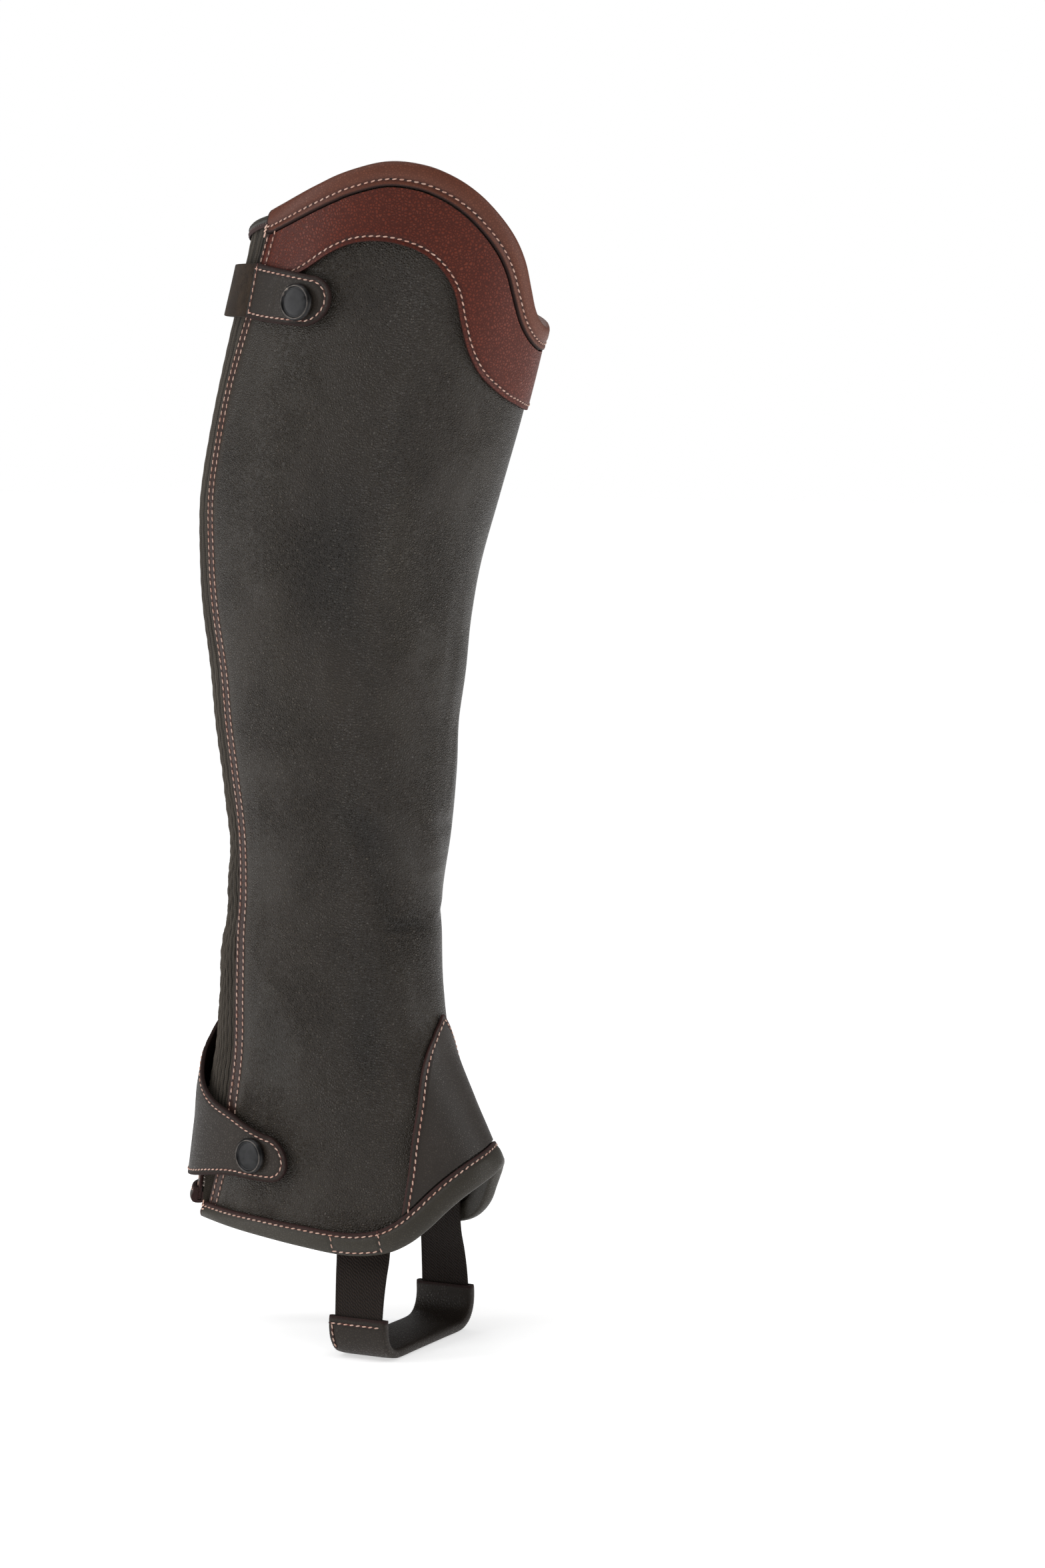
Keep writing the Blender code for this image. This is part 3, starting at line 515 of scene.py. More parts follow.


# shade is the colour of the painted shade; top is the colour of the painted highlights and glints
leathers = {
    "darkLeather": {
        "cell": 1.05, "relief": 0.85, "pores": 0.02, "patchScale": 26.0, "grainLeast": 0.22, "groove": 0.26,
        "deep": (0.0330, 0.0262, 0.0196), "light": (0.0420, 0.0334, 0.0252), "warm": (0.0450, 0.0332, 0.0246),
        "shade": (0.0140, 0.0114, 0.0088), "valleyShade": 0.6, "edge": (0.0340, 0.0105, 0.0085), "edgeFrom": 0.3,
        "edgeTo": 1.1, "dull": 0.45, "gloss": 0.28, "shine": 0.27, "seamStrip": 5.9,
        "paintedGlint": 0.44, "top": (0.1150, 0.0970, 0.0770), "troughShade": 0.85, "crestHighlight": 0.34,
    },
    "patchLeather": {
        "cell": 0.9, "relief": 0.12, "pores": 0.03, "patchScale": 22.0, "grainLeast": 0.5, "groove": 0.24,
        "deep": (0.0250, 0.0195, 0.0150), "light": (0.0350, 0.0270, 0.0210), "warm": (0.0370, 0.0255, 0.0200),
        "shade": (0.0100, 0.0070, 0.0060), "valleyShade": 0.4, "edge": (0.0380, 0.0118, 0.0094), "edgeFrom": 0.5,
        "edgeTo": 1.6, "dull": 0.56, "gloss": 0.40, "shine": 0.38,
        "paintedGlint": 0.4, "top": (0.0900, 0.0760, 0.0620), "troughShade": 0.5, "crestHighlight": 0.2,
    },
    "tabLeather": {
        "cell": 1.15, "relief": 0.20, "pores": 0.03, "patchScale": 30.0, "grainLeast": 0.2, "groove": 0.22,
        "deep": (0.0250, 0.0190, 0.0142), "light": (0.0360, 0.0276, 0.0208), "warm": (0.0375, 0.0256, 0.0188),
        "shade": (0.0090, 0.0065, 0.0055), "valleyShade": 0.5, "edge": (0.0185, 0.0078, 0.0064), "edgeFrom": 0.5,
        "edgeTo": 1.9, "dull": 0.56, "gloss": 0.40, "shine": 0.23,
        "paintedGlint": 0.3, "top": (0.0850, 0.0740, 0.0600), "troughShade": 0.2, "crestHighlight": 0.1,
    },
    "bindingLeather": {
        "cell": 0.9, "relief": 0.13, "pores": 0.03, "patchScale": 34.0, "grainLeast": 0.3, "groove": 0.26,
        "deep": (0.0350, 0.0300, 0.0210), "light": (0.0480, 0.0415, 0.0295), "warm": (0.0480, 0.0375, 0.0265),
        "shade": (0.0085, 0.0062, 0.0052), "valleyShade": 0.4, "edge": (0.0300, 0.0098, 0.0080), "edgeFrom": 0.6,
        "edgeTo": 1.7, "dull": 0.56, "gloss": 0.42, "shine": 0.38,
        "paintedGlint": 0.3, "top": (0.0950, 0.0850, 0.0670), "troughShade": 0.0, "crestHighlight": 0.0,
    },
    "chestnutLeather": {
        "cell": 1.3, "relief": 0.15, "pores": 0.03, "patchScale": 20.0, "grainLeast": 0.3, "groove": 0.25,
        "deep": (0.1180, 0.0200, 0.0095), "light": (0.1680, 0.0320, 0.0155), "warm": (0.1560, 0.0350, 0.0180),
        "shade": (0.0280, 0.0050, 0.0034), "valleyShade": 0.7, "edge": (0.0200, 0.0075, 0.0060), "edgeFrom": 0.2,
        "edgeTo": 0.9, "dull": 0.54, "gloss": 0.38, "shine": 0.21,
        "paintedGlint": 0.14, "top": (0.2600, 0.0900, 0.0620), "troughShade": 0.3, "crestHighlight": 0.1,
    },
    "chestnutBinding": {
        "cell": 1.0, "relief": 0.08, "pores": 0.03, "patchScale": 24.0, "grainLeast": 0.3, "groove": 0.25,
        "deep": (0.1220, 0.0350, 0.0185), "light": (0.1760, 0.0570, 0.0315), "warm": (0.1600, 0.0590, 0.0340),
        "shade": (0.0260, 0.0062, 0.0045), "valleyShade": 0.4, "edge": (0.0180, 0.0075, 0.0060), "edgeFrom": 0.3,
        "edgeTo": 1.3, "dull": 0.52, "gloss": 0.38, "shine": 0.25,
        "paintedGlint": 0.15, "top": (0.2600, 0.1050, 0.0720), "troughShade": 0.0, "crestHighlight": 0.0,
    },
}
finishes = {name: leather(name, look) for name, look in leathers.items()}


def suedeFinish():
    # Brushed suede: a short nap that lies this way and that
    material, tree, shader, place = newMaterial("chestnutSuede")
    nap = noise(tree, place, 2300.0, 4.0, Roughness=0.7)
    stroke = noise(tree, place, 70.0, 3.0, Distortion=1.2)
    tone = blendColour(tree, ramp(tree, stroke, 0.35, 0.65), (0.100, 0.024, 0.014), (0.185, 0.052, 0.030))
    tone = blendColour(tree, ramp(tree, nap, 0.35, 0.7, 0.0, 0.5), tone, (0.22, 0.070, 0.042))
    dress(tree, shader, tone, (nap, 0.6, 0.00025), {
        "Roughness": 0.95, "Sheen Weight": 0.35, "Sheen Roughness": 0.45, "Specular IOR Level": 0.15,
    })
    return material


def knitFinish():
    # Ribbed stretch knit: small loops across each rib, with the valleys between the ribs darkened nearly to black as
    # painted shade
    material, tree, shader, place = newMaterial("stretchKnit")
    across, along = flatLay(tree)
    fuzz = noise(tree, place, 1500.0, 3.0)
    loops = math(tree, "SINE", plus(tree, times(tree, along, 2 * pi / 0.00085), times(tree, fuzz, 1.6)))
    rows = math(tree, "SINE", times(tree, across, 2 * pi / 0.00055))
    weave = ramp(tree, plus(tree, loops, times(tree, rows, 0.5)), -1.2, 1.2)
    broad = noise(tree, place, 30.0)
    tone = blendColour(tree, ramp(tree, broad, 0.35, 0.65), (0.0450, 0.0365, 0.0280), (0.0610, 0.0500, 0.0388))
    tone = blendColour(tree, times(tree, weave, 0.22), tone, (0.1050, 0.0890, 0.0720))
    # painted shade: the valleys between the ribs nearly black
    paintedRibShade = ramp(tree, attribute(tree, "ribHigh"), 0.15, 0.85, 0.95, 0.0)
    tone = blendColour(tree, paintedRibShade, tone, (0.0050, 0.0038, 0.0030))
    dress(tree, shader, tone, (plus(tree, weave, times(tree, fuzz, 0.6)), 0.5, 0.00012), {
        "Roughness": 0.8, "Sheen Weight": 0.06, "Sheen Roughness": 0.5, "Specular IOR Level": 0.25,
    })
    return material


def wovenFinish(name, look):
    # Woven tape or webbing: a slanted twill with ribbed edges, read from the strip's own flat lay
    material, tree, shader, place = newMaterial(name)
    across, along = flatLay(tree)
    fuzz = noise(tree, place, 1900.0, 3.0)
    turns = 2 * pi / (look["pitch"] * mm)
    slant = times(tree, plus(tree, along, times(tree, across, look["slant"])), turns)
    ends = times(tree, across, turns * look["ends"])
    zigzag = plus(tree, slant, times(tree, math(tree, "SINE", times(tree, ends, 0.25)), 1.1))
    twill = math(tree, "SINE", plus(tree, zigzag, times(tree, fuzz, 1.3)))
    weave = ramp(tree, plus(tree, twill, times(tree, math(tree, "SINE", ends), 0.7)), -1.4, 1.4)
    tone = blendColour(tree, weave, look["deep"], look["light"])
    tone = blendColour(tree, ramp(tree, fuzz, 0.45, 0.75, 0.0, 0.4), tone, look["worn"])
    dress(tree, shader, tone, (weave, 0.9, look["relief"] * mm), {
        "Roughness": 0.85, "Sheen Weight": look["sheen"], "Sheen Roughness": 0.5, "Specular IOR Level": 0.25,
    })
    return material


def plushFinish():
    # Brushed elastic: a short dark-brown pile
    material, tree, shader, place = newMaterial("plushElastic")
    pile = noise(tree, place, 1400.0, 5.0, Roughness=0.75)
    lay = noise(tree, place, 160.0, 3.0)
    tone = blendColour(tree, ramp(tree, lay, 0.35, 0.65), (0.0150, 0.0085, 0.0045), (0.0290, 0.0175, 0.0098))
    tone = blendColour(tree, ramp(tree, pile, 0.4, 0.75, 0.0, 0.55), tone, (0.0560, 0.0360, 0.0220))
    dress(tree, shader, tone, (pile, 0.8, 0.0004), {
        "Roughness": 0.95, "Sheen Weight": 0.08, "Sheen Roughness": 0.4, "Specular IOR Level": 0.12,
    })
    return material


def threadFinish(name, deep, light, gap):
    # Waxed thread of twisted strands, with painted shade between the strands
    material, tree, shader, place = newMaterial(name)
    across, along = flatLay(tree)
    strand = math(tree, "SINE", plus(tree, times(tree, across, 14.0), times(tree, along, 22.0)))
    tone = blendColour(tree, ramp(tree, noise(tree, place, 120.0), 0.35, 0.65), deep, light)
    # painted shade: darker in the gap colour between the twisted strands
    tone = blendColour(tree, ramp(tree, strand, -1.0, 0.2, 0.45, 0.0), tone, gap)
    dress(tree, shader, tone, (strand, 0.8, 0.00012), {"Roughness": 0.55, "Sheen Weight": 0.15})
    return material


def holeFinish():
    # The needle holes: thread and leather pulled in together, dark red-brown, darkened towards black as painted shade
    # inside the holes
    material, tree, shader, place = newMaterial("needleHoles")
    shade = noise(tree, place, 400.0)
    tone = blendColour(tree, ramp(tree, shade, 0.3, 0.7), (0.012, 0.0034, 0.0026), (0.060, 0.0155, 0.0105))
    dress(tree, shader, tone, (shade, 0.5, 0.0001), {"Roughness": 0.8})
    return material


def metalFinish(name, look):
    # Blackened metal with a fine cast grain, brighter where its rims and corners are rubbed
    material, tree, shader, place = newMaterial(name)
    smear = noise(tree, place, 260.0, 3.0, Distortion=0.6)
    rub = ramp(tree, node(tree, "ShaderNodeNewGeometry").outputs["Pointiness"], 0.52, 0.58)
    rub = times(tree, rub, ramp(tree, smear, 0.35, 0.7, 0.25, 1.0))
    tone = blendColour(tree, ramp(tree, smear, 0.3, 0.7), look["deep"], look["light"])
    tone = blendColour(tree, rub, tone, look["worn"])
    tree.links.new(ramp(tree, smear, 0.3, 0.75, look["gloss"], look["dull"]), shader.inputs["Roughness"])
    dress(tree, shader, tone, (noise(tree, place, 2600.0, 3.0), 0.5, 0.00003), {"Metallic": look["metallic"]})
    return material


finishes["suede"] = suedeFinish()
finishes["knit"] = knitFinish()
finishes["plush"] = plushFinish()
finishes["thread"] = threadFinish("salmonThread", (0.88, 0.500, 0.370), (1.0, 0.700, 0.560), (0.42, 0.140, 0.095))
finishes["redThread"] = threadFinish(
    "darkRedThread", (0.060, 0.016, 0.011), (0.110, 0.032, 0.022), (0.020, 0.006, 0.004),
)
finishes["holes"] = holeFinish()
finishes["webbing"] = wovenFinish("elasticWebbing", {
    "pitch": 1.5, "slant": 0.9, "ends": 1.9, "relief": 0.3, "deep": (0.0045, 0.0026, 0.0018),
    "light": (0.0180, 0.0105, 0.0066), "worn": (0.0250, 0.0155, 0.0102), "sheen": 0.05,
})
finishes["tape"] = wovenFinish("zipTape", {
    "pitch": 0.8, "slant": 0.5, "ends": 1.3, "relief": 0.12, "deep": (0.0180, 0.0080, 0.0065),
    "light": (0.0420, 0.0190, 0.0155), "worn": (0.0500, 0.0260, 0.0210), "sheen": 0.15,
})
finishes["gunmetal"] = metalFinish("gunmetal", {
    "deep": (0.012, 0.012, 0.0125), "light": (0.026, 0.026, 0.027), "worn": (0.26, 0.22, 0.19), "gloss": 0.34,
    "dull": 0.5, "metallic": 0.7,
})
finishes["zipMetal"] = metalFinish("zipMetal", {
    "deep": (0.060, 0.048, 0.042), "light": (0.110, 0.090, 0.080), "worn": (0.42, 0.36, 0.32), "gloss": 0.28,
    "dull": 0.45, "metallic": 0.9,
})
print("half chap: materials ready")

# Main leather
legPanel = {
    "round": 332.0, "columnStep": 2.1, "rows": 190, "cornerRound": 0.5,
    "nearSeam": [0.0, 0.18, 0.45, 0.9, 1.5, 2.2, 3.0, 3.8, 4.7, 5.7, 6.7, 7.7, 8.8, 10.0, 11.4],
}


def columnSpans(shares, low, lowInset, high, highInset):
    # for each share across: lowest and highest place of a layer, as heights and turns off the panel's lines
    spans = []
    for share in shares:
        first = inset(edgeFrame(edges[low], legAngle, share), lowInset)
        last = inset(edgeFrame(edges[high], legAngle, share), highInset)
        spans.append((first[1], last[1], first[0] - legAngle(share, first[1]), last[0] - legAngle(share, last[1])))
    return dict(zip(shares, spans))


def laidBetween(spans):
    def place(u, v):
        low, high, lowAside, highAside = spans[u]
        height = between(low, high, v)
        return legAngle(u, height) + between(lowAside, highAside, v), height

    return place


legShares = spacedShares(legPanel["round"], legPanel["columnStep"], start=legPanel["nearSeam"])
closerLow = [i / legPanel["rows"] for i in range(legPanel["rows"] + 1)]
closerLow = [t * between(0.85, 1, t) for t in closerLow]
room = layers["edgeRoom"]


def legSkins(u, v, angle, height):
    drop = rolledEdge(min(u, 1 - u) * legPanel["round"], legPanel["cornerRound"])
    return -drop, -layers["leather"] + 0.4 * drop


mainLeather = sewnSheet(
    "leg_leather", legShares, closerLow, laidBetween(columnSpans(legShares, "bottom", -room, "top", room)),
    legSkins, raw=("start", "end"),
)
mainLeather = finishMesh("leg_leather", mainLeather, finishes["darkLeather"], "leg_panel")
clothPieces.append(mainLeather)
print("half chap: main leather cut")

# Ribbed stretch panel up the back
stretchPanel = {
    "ribs": 24, "perRib": 6, "rows": 230, "crinkleAt": 196.0, "crinkleReach": 62.0, "crinkleDeep": 0.7,
    "crinkleEvery": 34.0, "rippleEvery": 7.3, "rippleDeep": 0.28, "wander": 1.3, "wanderReach": 110.0,
    "rippleReach": 150.0, "highest": 0.7,
    # the part that is sewn in under the main leather, as distances beyond the panel's own edge
    "lap": [0.06, 0.3, 0.9, 2.4, 4.4, 6.7, 8.0], "lapPressed": -1.66, "lapShorter": 0.4, "lapUnit": 100.0,
}


def stretchCloth():
    look = stretchPanel
    columns = look["ribs"] * look["perRib"]
    # a share over 1 is on the lap under the leather
    across = [i / columns for i in range(columns + 1)] + [1 + aside / look["lapUnit"] for aside in look["lap"]]
    along = [i / look["rows"] for i in range(look["rows"] + 1)]
    ends = {}
    for u in across:
        shorter = look["lapShorter"] if u > 1 else 0
        low = edgeAt(edges["stretchBottom"], stretchAngle, min(u, 1))[1]
        high = edgeAt(edges["stretchTop"], stretchAngle, min(u, 1))[1]
        ends[u] = (low + shorter, high - room - shorter)

    def closeTo(height, reach):
        return max(0.0, 1 - abs(height - look["crinkleAt"]) / reach)

    def ribShape(u):
        return 0.5 - 0.5 * cos(2 * pi * u * look["ribs"])

    def place(u, v):
        height = between(*ends[u], v)
        near = closeTo(height, look["wanderReach"])
        within = min(u, 1.0)
        sway = look["wander"] * near * sin(height / 5.3 + 2.1 * sin(height / 19)) * sin(pi * within)
        angle = stretchAngle(within, height)
        sway += (u - within) * look["lapUnit"]
        return angle + sway / perDegree(angle, height), height

    def gather(u, height):
        # ribs draw together in uneven bunches that wander up the panel
        sway = 0.9 * sin(height / 15.0 + 3.0 * u) + 0.5 * sin(height / 6.3 + 7.0 * u)
        return 0.5 + 0.5 * sin(2 * pi * u * 7.3 + sway)

    def ribAt(u, v):
        if u > 1:
            return 0.0
        return 0.55 * ribShape(u) + 0.45 * gather(u, between(*ends[u], v))

    def skins(u, v, angle, height):
        if u > 1:
            return look["lapPressed"], layers["stretchInner"]
        near, far = closeTo(height, look["crinkleReach"]), closeTo(height, look["rippleReach"])
        bunch = look["crinkleDeep"] * near * sin(2 * pi * height / look["crinkleEvery"] + 1.4 * sin(pi * u))
        wave = sin(2 * pi * height / look["rippleEvery"] + 3 * sin(9 * u) + height / 31)
        ripple = look["rippleDeep"] * (0.35 + far) * wave
        rib = between(layers["stretchValley"], layers["stretchCrest"], ribShape(u)**0.7)
        outer = rib + bunch + ripple * 0.6 - 0.5 * (1 - gather(u, height))
        return min(outer, look["highest"]), layers["stretchInner"]

    mesh = sewnSheet("stretch_cloth", across, along, place, skins, ribs=ribAt)
    piece = finishMesh("stretch_cloth", mesh, finishes["knit"], "stretch_panel", sharp=80)


stretchCloth()
print("half chap: stretch panel cut")

# Chestnut band outside the top and suede facing inside it
topLayers = {"bandRound": 345.0, "facingRound": 335.0, "deep": 60.0, "bandUnder": 10.6}
bandShares = spacedShares(topLayers["bandRound"], 2.3)
bandRows = spacedShares(topLayers["deep"], 2.4, end=[0.0, 1.0])
bandFace = layers["layerGap"] + layers["overlay"]


def topLayerDrop(u, v, wide, radius):
    return rolledEdge(min(u * wide, (1 - u) * wide, v * topLayers["deep"]), radius)


def bandSkins(u, v, angle, height):
    return bandFace - topLayerDrop(u, v, topLayers["bandRound"], 0.5), layers["layerGap"]


bandMesh = sewnSheet(
    "chestnut_band", bandShares, bandRows,
    laidBetween(columnSpans(bandShares, "band", 0.0, "top", topLayers["bandUnder"])), bandSkins,
    raw=("low", "start", "end"),
)
chestnutBand = finishMesh("chestnut_band", bandMesh, finishes["chestnutLeather"], "top_band")
clothPieces.append(chestnutBand)


def facingSkins(u, v, angle, height):
    return layers["facingOuter"], layers["facingInner"] + topLayerDrop(u, v, topLayers["facingRound"], 0.35)


facingMesh = sewnSheet(
    "suede_facing", bandShares, bandRows, laidBetween(columnSpans(bandShares, "facing", 0.0, "top", room)),
    facingSkins,
)
suedeFacing = finishMesh("suede_facing", facingMesh, finishes["suede"], "top_facing")
print("half chap: band and facing cut")

# Bindings: a strip folded over an edge. Its section is a hook, deeper outside than inside.
bindings = {
    "top": {"round": 345.0, "deep": 10.0, "thick": 2.1, "backThick": 1.2, "row": 7.3},
    "bottom": {
        "round": 375.0, "thick": 2.0, "backThick": 1.2, "rowFromRim": 1.6,
        "deep": [(36, 6.8), (56, 7.4), (72, 8.4), (100, 9.6), (262, 9.6), (310, 8), (387, 6.8)],
    },
    "stretch": {"round": 55.0, "face": 0.3, "deep": 5.0, "thick": 1.0, "backThick": 1.0, "row": 3.6},
    "roof": 1.3, "step": 1.6, "rowSinks": 0.42,
}
patchLift = 0.55


def lowDeep(angle):
    return smoothCurve(bindings["bottom"]["deep"], angle)


def lowRow(angle):
    return lowDeep(angle) - bindings["bottom"]["rowFromRim"]


def bindingSection(deep, face, thick, back, backThick, row, puff, snug=1.0):
    # distance in from the edge and depth, round the hook; the row of stitches pulls the strip down
    backDeep = 0.75 * deep
    top = face + thick
    low = back - backThick
    face = between(0.04, face, snug)
    back = between(-layers["leather"] - 0.04, back, snug)
    roof = bindings["roof"]
    return [
        (deep, face), (deep, face + 0.35 * thick), (deep - 0.1, top - 0.75), (deep - 0.4, top - 0.35),
        (deep - 1.0, top - 0.22), (row + 0.8, top - 0.34), (row, top - bindings["rowSinks"]),
        (row - 0.9, top - 0.2), (row - 2.0, top + puff * 0.6), ((row - 2.0) * 0.55 + 1.1, top + puff),
        (2.2, top + puff * 0.9), (1.2, top - 0.05), (0.45, top - 0.55), (0.05, between(top, low, 0.3)),
        (0.0, between(top, low, 0.5)), (0.1, between(top, low, 0.7)), (0.7, low + 0.28), (1.6, low + 0.02),
        (backDeep * 0.6, low), (backDeep - 0.3, low + 0.1), (backDeep, low + 0.45), (backDeep, back),
        (roof + 1.2, back), (roof, back), (roof, face), (roof + 1.2, face),
    ]


def bindingStrip(name, table, angleAt, length, side, sectionAtAngle, material, replaced):
    rings = []
    cut = edgePoints.setdefault(name, [])
    closeToEnd = [0.0, 0.5, 1.4]
    for share in spacedShares(length, bindings["step"], start=closeToEnd, end=closeToEnd):
        spot = edgeFrame(edges[table], angleAt, share)
        section = sectionAtAngle(spot[2], share)
        ring = [layOn(*inset(spot, side * inward), out) for inward, out in section]
        cut.extend(ring if share in (0, 1) else ring[0:3])
        rings.append(ring)
    piece = finishMesh(name, sweptStrip(rings), material, replaced, sharp=60)
    clothPieces.append(piece)
    return piece


def gentle(share, turns, size):
    # an uneven swell along a strip
    return size * (sin(2 * pi * turns * share + 0.7) + 0.6 * sin(2 * pi * turns * 2.37 * share + 2.1))


def topHook(angle, share):
    look = bindings["top"]
    return bindingSection(
        look["deep"], layers["layerGap"], look["thick"], layers["facingInner"] - 0.3, look["backThick"],
        look["row"], 0.25 + gentle(share, 9, 0.05),
    )


def bottomHook(angle, share):
    # close on the leather at its two ends
    look = bindings["bottom"]
    return bindingSection(
        lowDeep(angle), patchLift, look["thick"], -layers["leather"] - patchLift, look["backThick"],
        lowRow(angle), 0.3 + gentle(share, 11, 0.06), ramped(min(share, 1 - share) * look["round"], 1.0, 9.0),
    )


def stretchHook(angle, share):
    look = bindings["stretch"]
    return bindingSection(
        look["deep"], look["face"], look["thick"], layers["stretchInner"] - 0.3, look["backThick"], look["row"], 0.08,
    )


topBinding = bindingStrip(
    "top_edge_binding", "top", legAngle, bindings["top"]["round"], 1, topHook,
    finishes["chestnutBinding"], "top_binding",
)
bottomBinding = bindingStrip(
    "bottom_edge_binding", "bottom", legAngle, bindings["bottom"]["round"], -1, bottomHook,
    finishes["bindingLeather"], "bottom_binding",
)
stretchBinding = bindingStrip(
    "stretch_edge_binding", "stretchTop", stretchAngle, bindings["stretch"]["round"], 1, stretchHook,
    finishes["bindingLeather"], "stretch_binding",
)
print("half chap: bindings folded")

# Pointed patch over the instep: height, reach to each side in degrees
frontPatch = {
    "middle": 183.0, "apex": 151.0, "round": 110.0, "high": 80.0,
    "reach": [
        (60, 61), (69, 60), (84, 55), (100, 48), (116, 38.5), (127, 31), (137, 21.5), (144, 12), (149, 4),
        (151, 1.5),
    ],
}


def patchPiece():
    lowEdge = []
    for i in range(201):
        spot = edgeFrame(edges["bottom"], legAngle, i / 200)
        lowEdge.append(inset(spot, -lowDeep(spot[2]) - 0.6))
    across = spacedShares(frontPatch["round"], 1.9)
    along = spacedShares(frontPatch["high"], 1.8, start=[0.0, 0.6])

    def patchAngle(u, height):
        return frontPatch["middle"] + (2 * u - 1) * smoothCurve(frontPatch["reach"], height)

    lows = {}
    for u in across:
        low = frontPatch["high"]
        for _ in range(12):
            low = smoothCurve(lowEdge, patchAngle(u, low))
        lows[u] = low

    def place(u, v):
        height = between(lows[u], frontPatch["apex"], v)
        return patchAngle(u, height), height

    def skins(u, v, angle, height):
        wide = 2 * smoothCurve(frontPatch["reach"], height) * 1.05
        drop = rolledEdge(min(min(u, 1 - u) * wide, (1 - v) * frontPatch["high"]), 0.5)
        return patchLift + layers["overlay"] - drop, patchLift

    mesh = sewnSheet("instep_patch", across, along, place, skins, raw=("start", "end", "high"))
    piece = finishMesh("instep_patch", mesh, finishes["patchLeather"], "front_patch")
    clothPieces.append(piece)


patchPiece()

# Snap tabs: angle, lower edge, upper edge, how far the underside stands off the leather
tabs = {
    "elastic": [
        (-26, 445, 466, 1.8), (-16, 445.5, 466.5, 1.9), (-6, 446, 467, 2.3), (12, 446.5, 467.5, 2.5),
        (30, 446.5, 468, 2.6), (42, 446.2, 468, 2.5), (56.6, 445.7, 468, 2.4),
    ],
    "upper": [(57, 445.7, 468, 2.4), (65, 444.2, 466.6, 2.3), (74, 443, 465, 2.3), (86, 441.8, 462.6, 2.3)],
    "lower": [
        (-40, 86, 149, 0.4), (-28, 83.5, 152, 0.5), (-14, 79, 150, 0.9), (0, 76, 143, 2.2), (12, 75, 134.5, 3.0),
        (22, 75.2, 128.5, 3.4), (33, 76.7, 119.5, 3.4), (46, 79.4, 113, 3.0), (59, 81.4, 108.8, 2.6),
        (69, 81.2, 104.2, 2.3), (77.3, 81.2, 101.2, 2.3),
    ],
    "thick": 1.7, "elasticThick": 1.5, "upperTip": 10.4, "lowerTip": 10.0, "tipSteps": 14,
}


def tabPlace(table, tip, run):
    # a place on a tab at a run in mm from where its rounded end begins, as angle and both edges
    end = table[-1][0]
    scale = perDegree(end, table[-1][1])
    angle = end + run / scale
    low, high, lift = (smoothCurve(table, min(angle, end), n) for n in (1, 2, 3))
    if run > 0 and tip:
        part = min(run / tip, 1.0)
        slim = max(sqrt(max(0.0, 1 - part**2)), 0.05)
        middle = (low + high) / 2
        low, high = between(middle, low, slim), between(middle, high, slim)
    return angle, low, high, lift


def tabPiece(name, table, tip, thick, step, material, replaced, raw, crease=None):
    scale = perDegree(table[-1][0], table[-1][1])
    back = (table[-1][0] - table[0][0]) * scale
    count = ceil(back / step)
    runs = [-back * (1 - i / count) for i in range(count + 1)]
    if tip:
        runs += [tip * sin(pi / 2 * i / tabs["tipSteps"]) for i in range(1, tabs["tipSteps"] + 1)]
    else:
        runs = runs[:-1] + [-0.45, -0.15, 0.0]
    across = [(run - runs[0]) / (runs[-1] - runs[0]) for run in runs]
    spots = {u: tabPlace(table, tip, run) for u, run in zip(across, runs)}
    runAt = dict(zip(across, runs))
    _, lowEdge, highEdge, _ = table[len(table) // 2]
    along = spacedShares(highEdge - lowEdge, 1.6)

    def place(u, v):
        angle, low, high, _ = spots[u]
        return angle, between(low, high, v)

    def skins(u, v, angle, height):
        _, low, high, lift = spots[u]
        gap = min(v, 1 - v) * (high - low)
        if tip:
            gap = min(gap, max(tip - runAt[u], 0.0))
        drop = rolledEdge(gap, 0.55)
        wrinkle = crease(angle, height) if crease else 0.0
        return lift + thick - drop + wrinkle, lift + 0.5 * rolledEdge(gap, 0.5)

    mesh = sewnSheet(name, across, along, place, skins, raw=raw)
    piece = finishMesh(name, mesh, material, replaced)
    clothPieces.append(piece)
    return piece


def upperTabCreases(angle, height):
    # small creases across the tab, beside its snap
    total = 0.0
    for middle, slope, deep in ((71.0, 0.07, -0.28), (73.2, 0.1, 0.16), (75.0, 0.02, -0.2)):
        away = (angle - middle - (height - 455) * slope) / 1.05
        shorter = max(0.0, 1 - ((height - 455) / 10.0) ** 2)
        total += deep * max(0.0, 1 - away**2) ** 2 * shorter
    return total


# middle angle, slope, half width, depth of the furrows where the lower tab curls round the heel
heelFurrows = [
    (2.0, 0.05, 1.5, -0.22), (5.5, -0.03, 1.3, 0.15), (8.8, 0.04, 1.6, -0.30), (12.4, -0.02, 1.3, -0.16),
    (15.5, 0.06, 1.7, -0.26), (19.4, 0.02, 1.4, 0.14), (23.0, -0.05, 1.7, -0.20), (28.5, 0.03, 1.8, -0.12),
]


def lowerTabCreases(angle, height):
    total = 0.0
    for number, (middle, slope, half, deep) in enumerate(heelFurrows):
        away = (angle - middle - (height - 104) * slope - 0.5 * sin(height / 4.1 + number)) / half
        reach = ramped(height, 80.0, 88.0 + 3 * (number % 3)) * ramped(height, 142.0, 122.0 - 4 * (number % 4))
        total += deep * max(0.0, 1 - away**2) ** 2 * reach
    return total


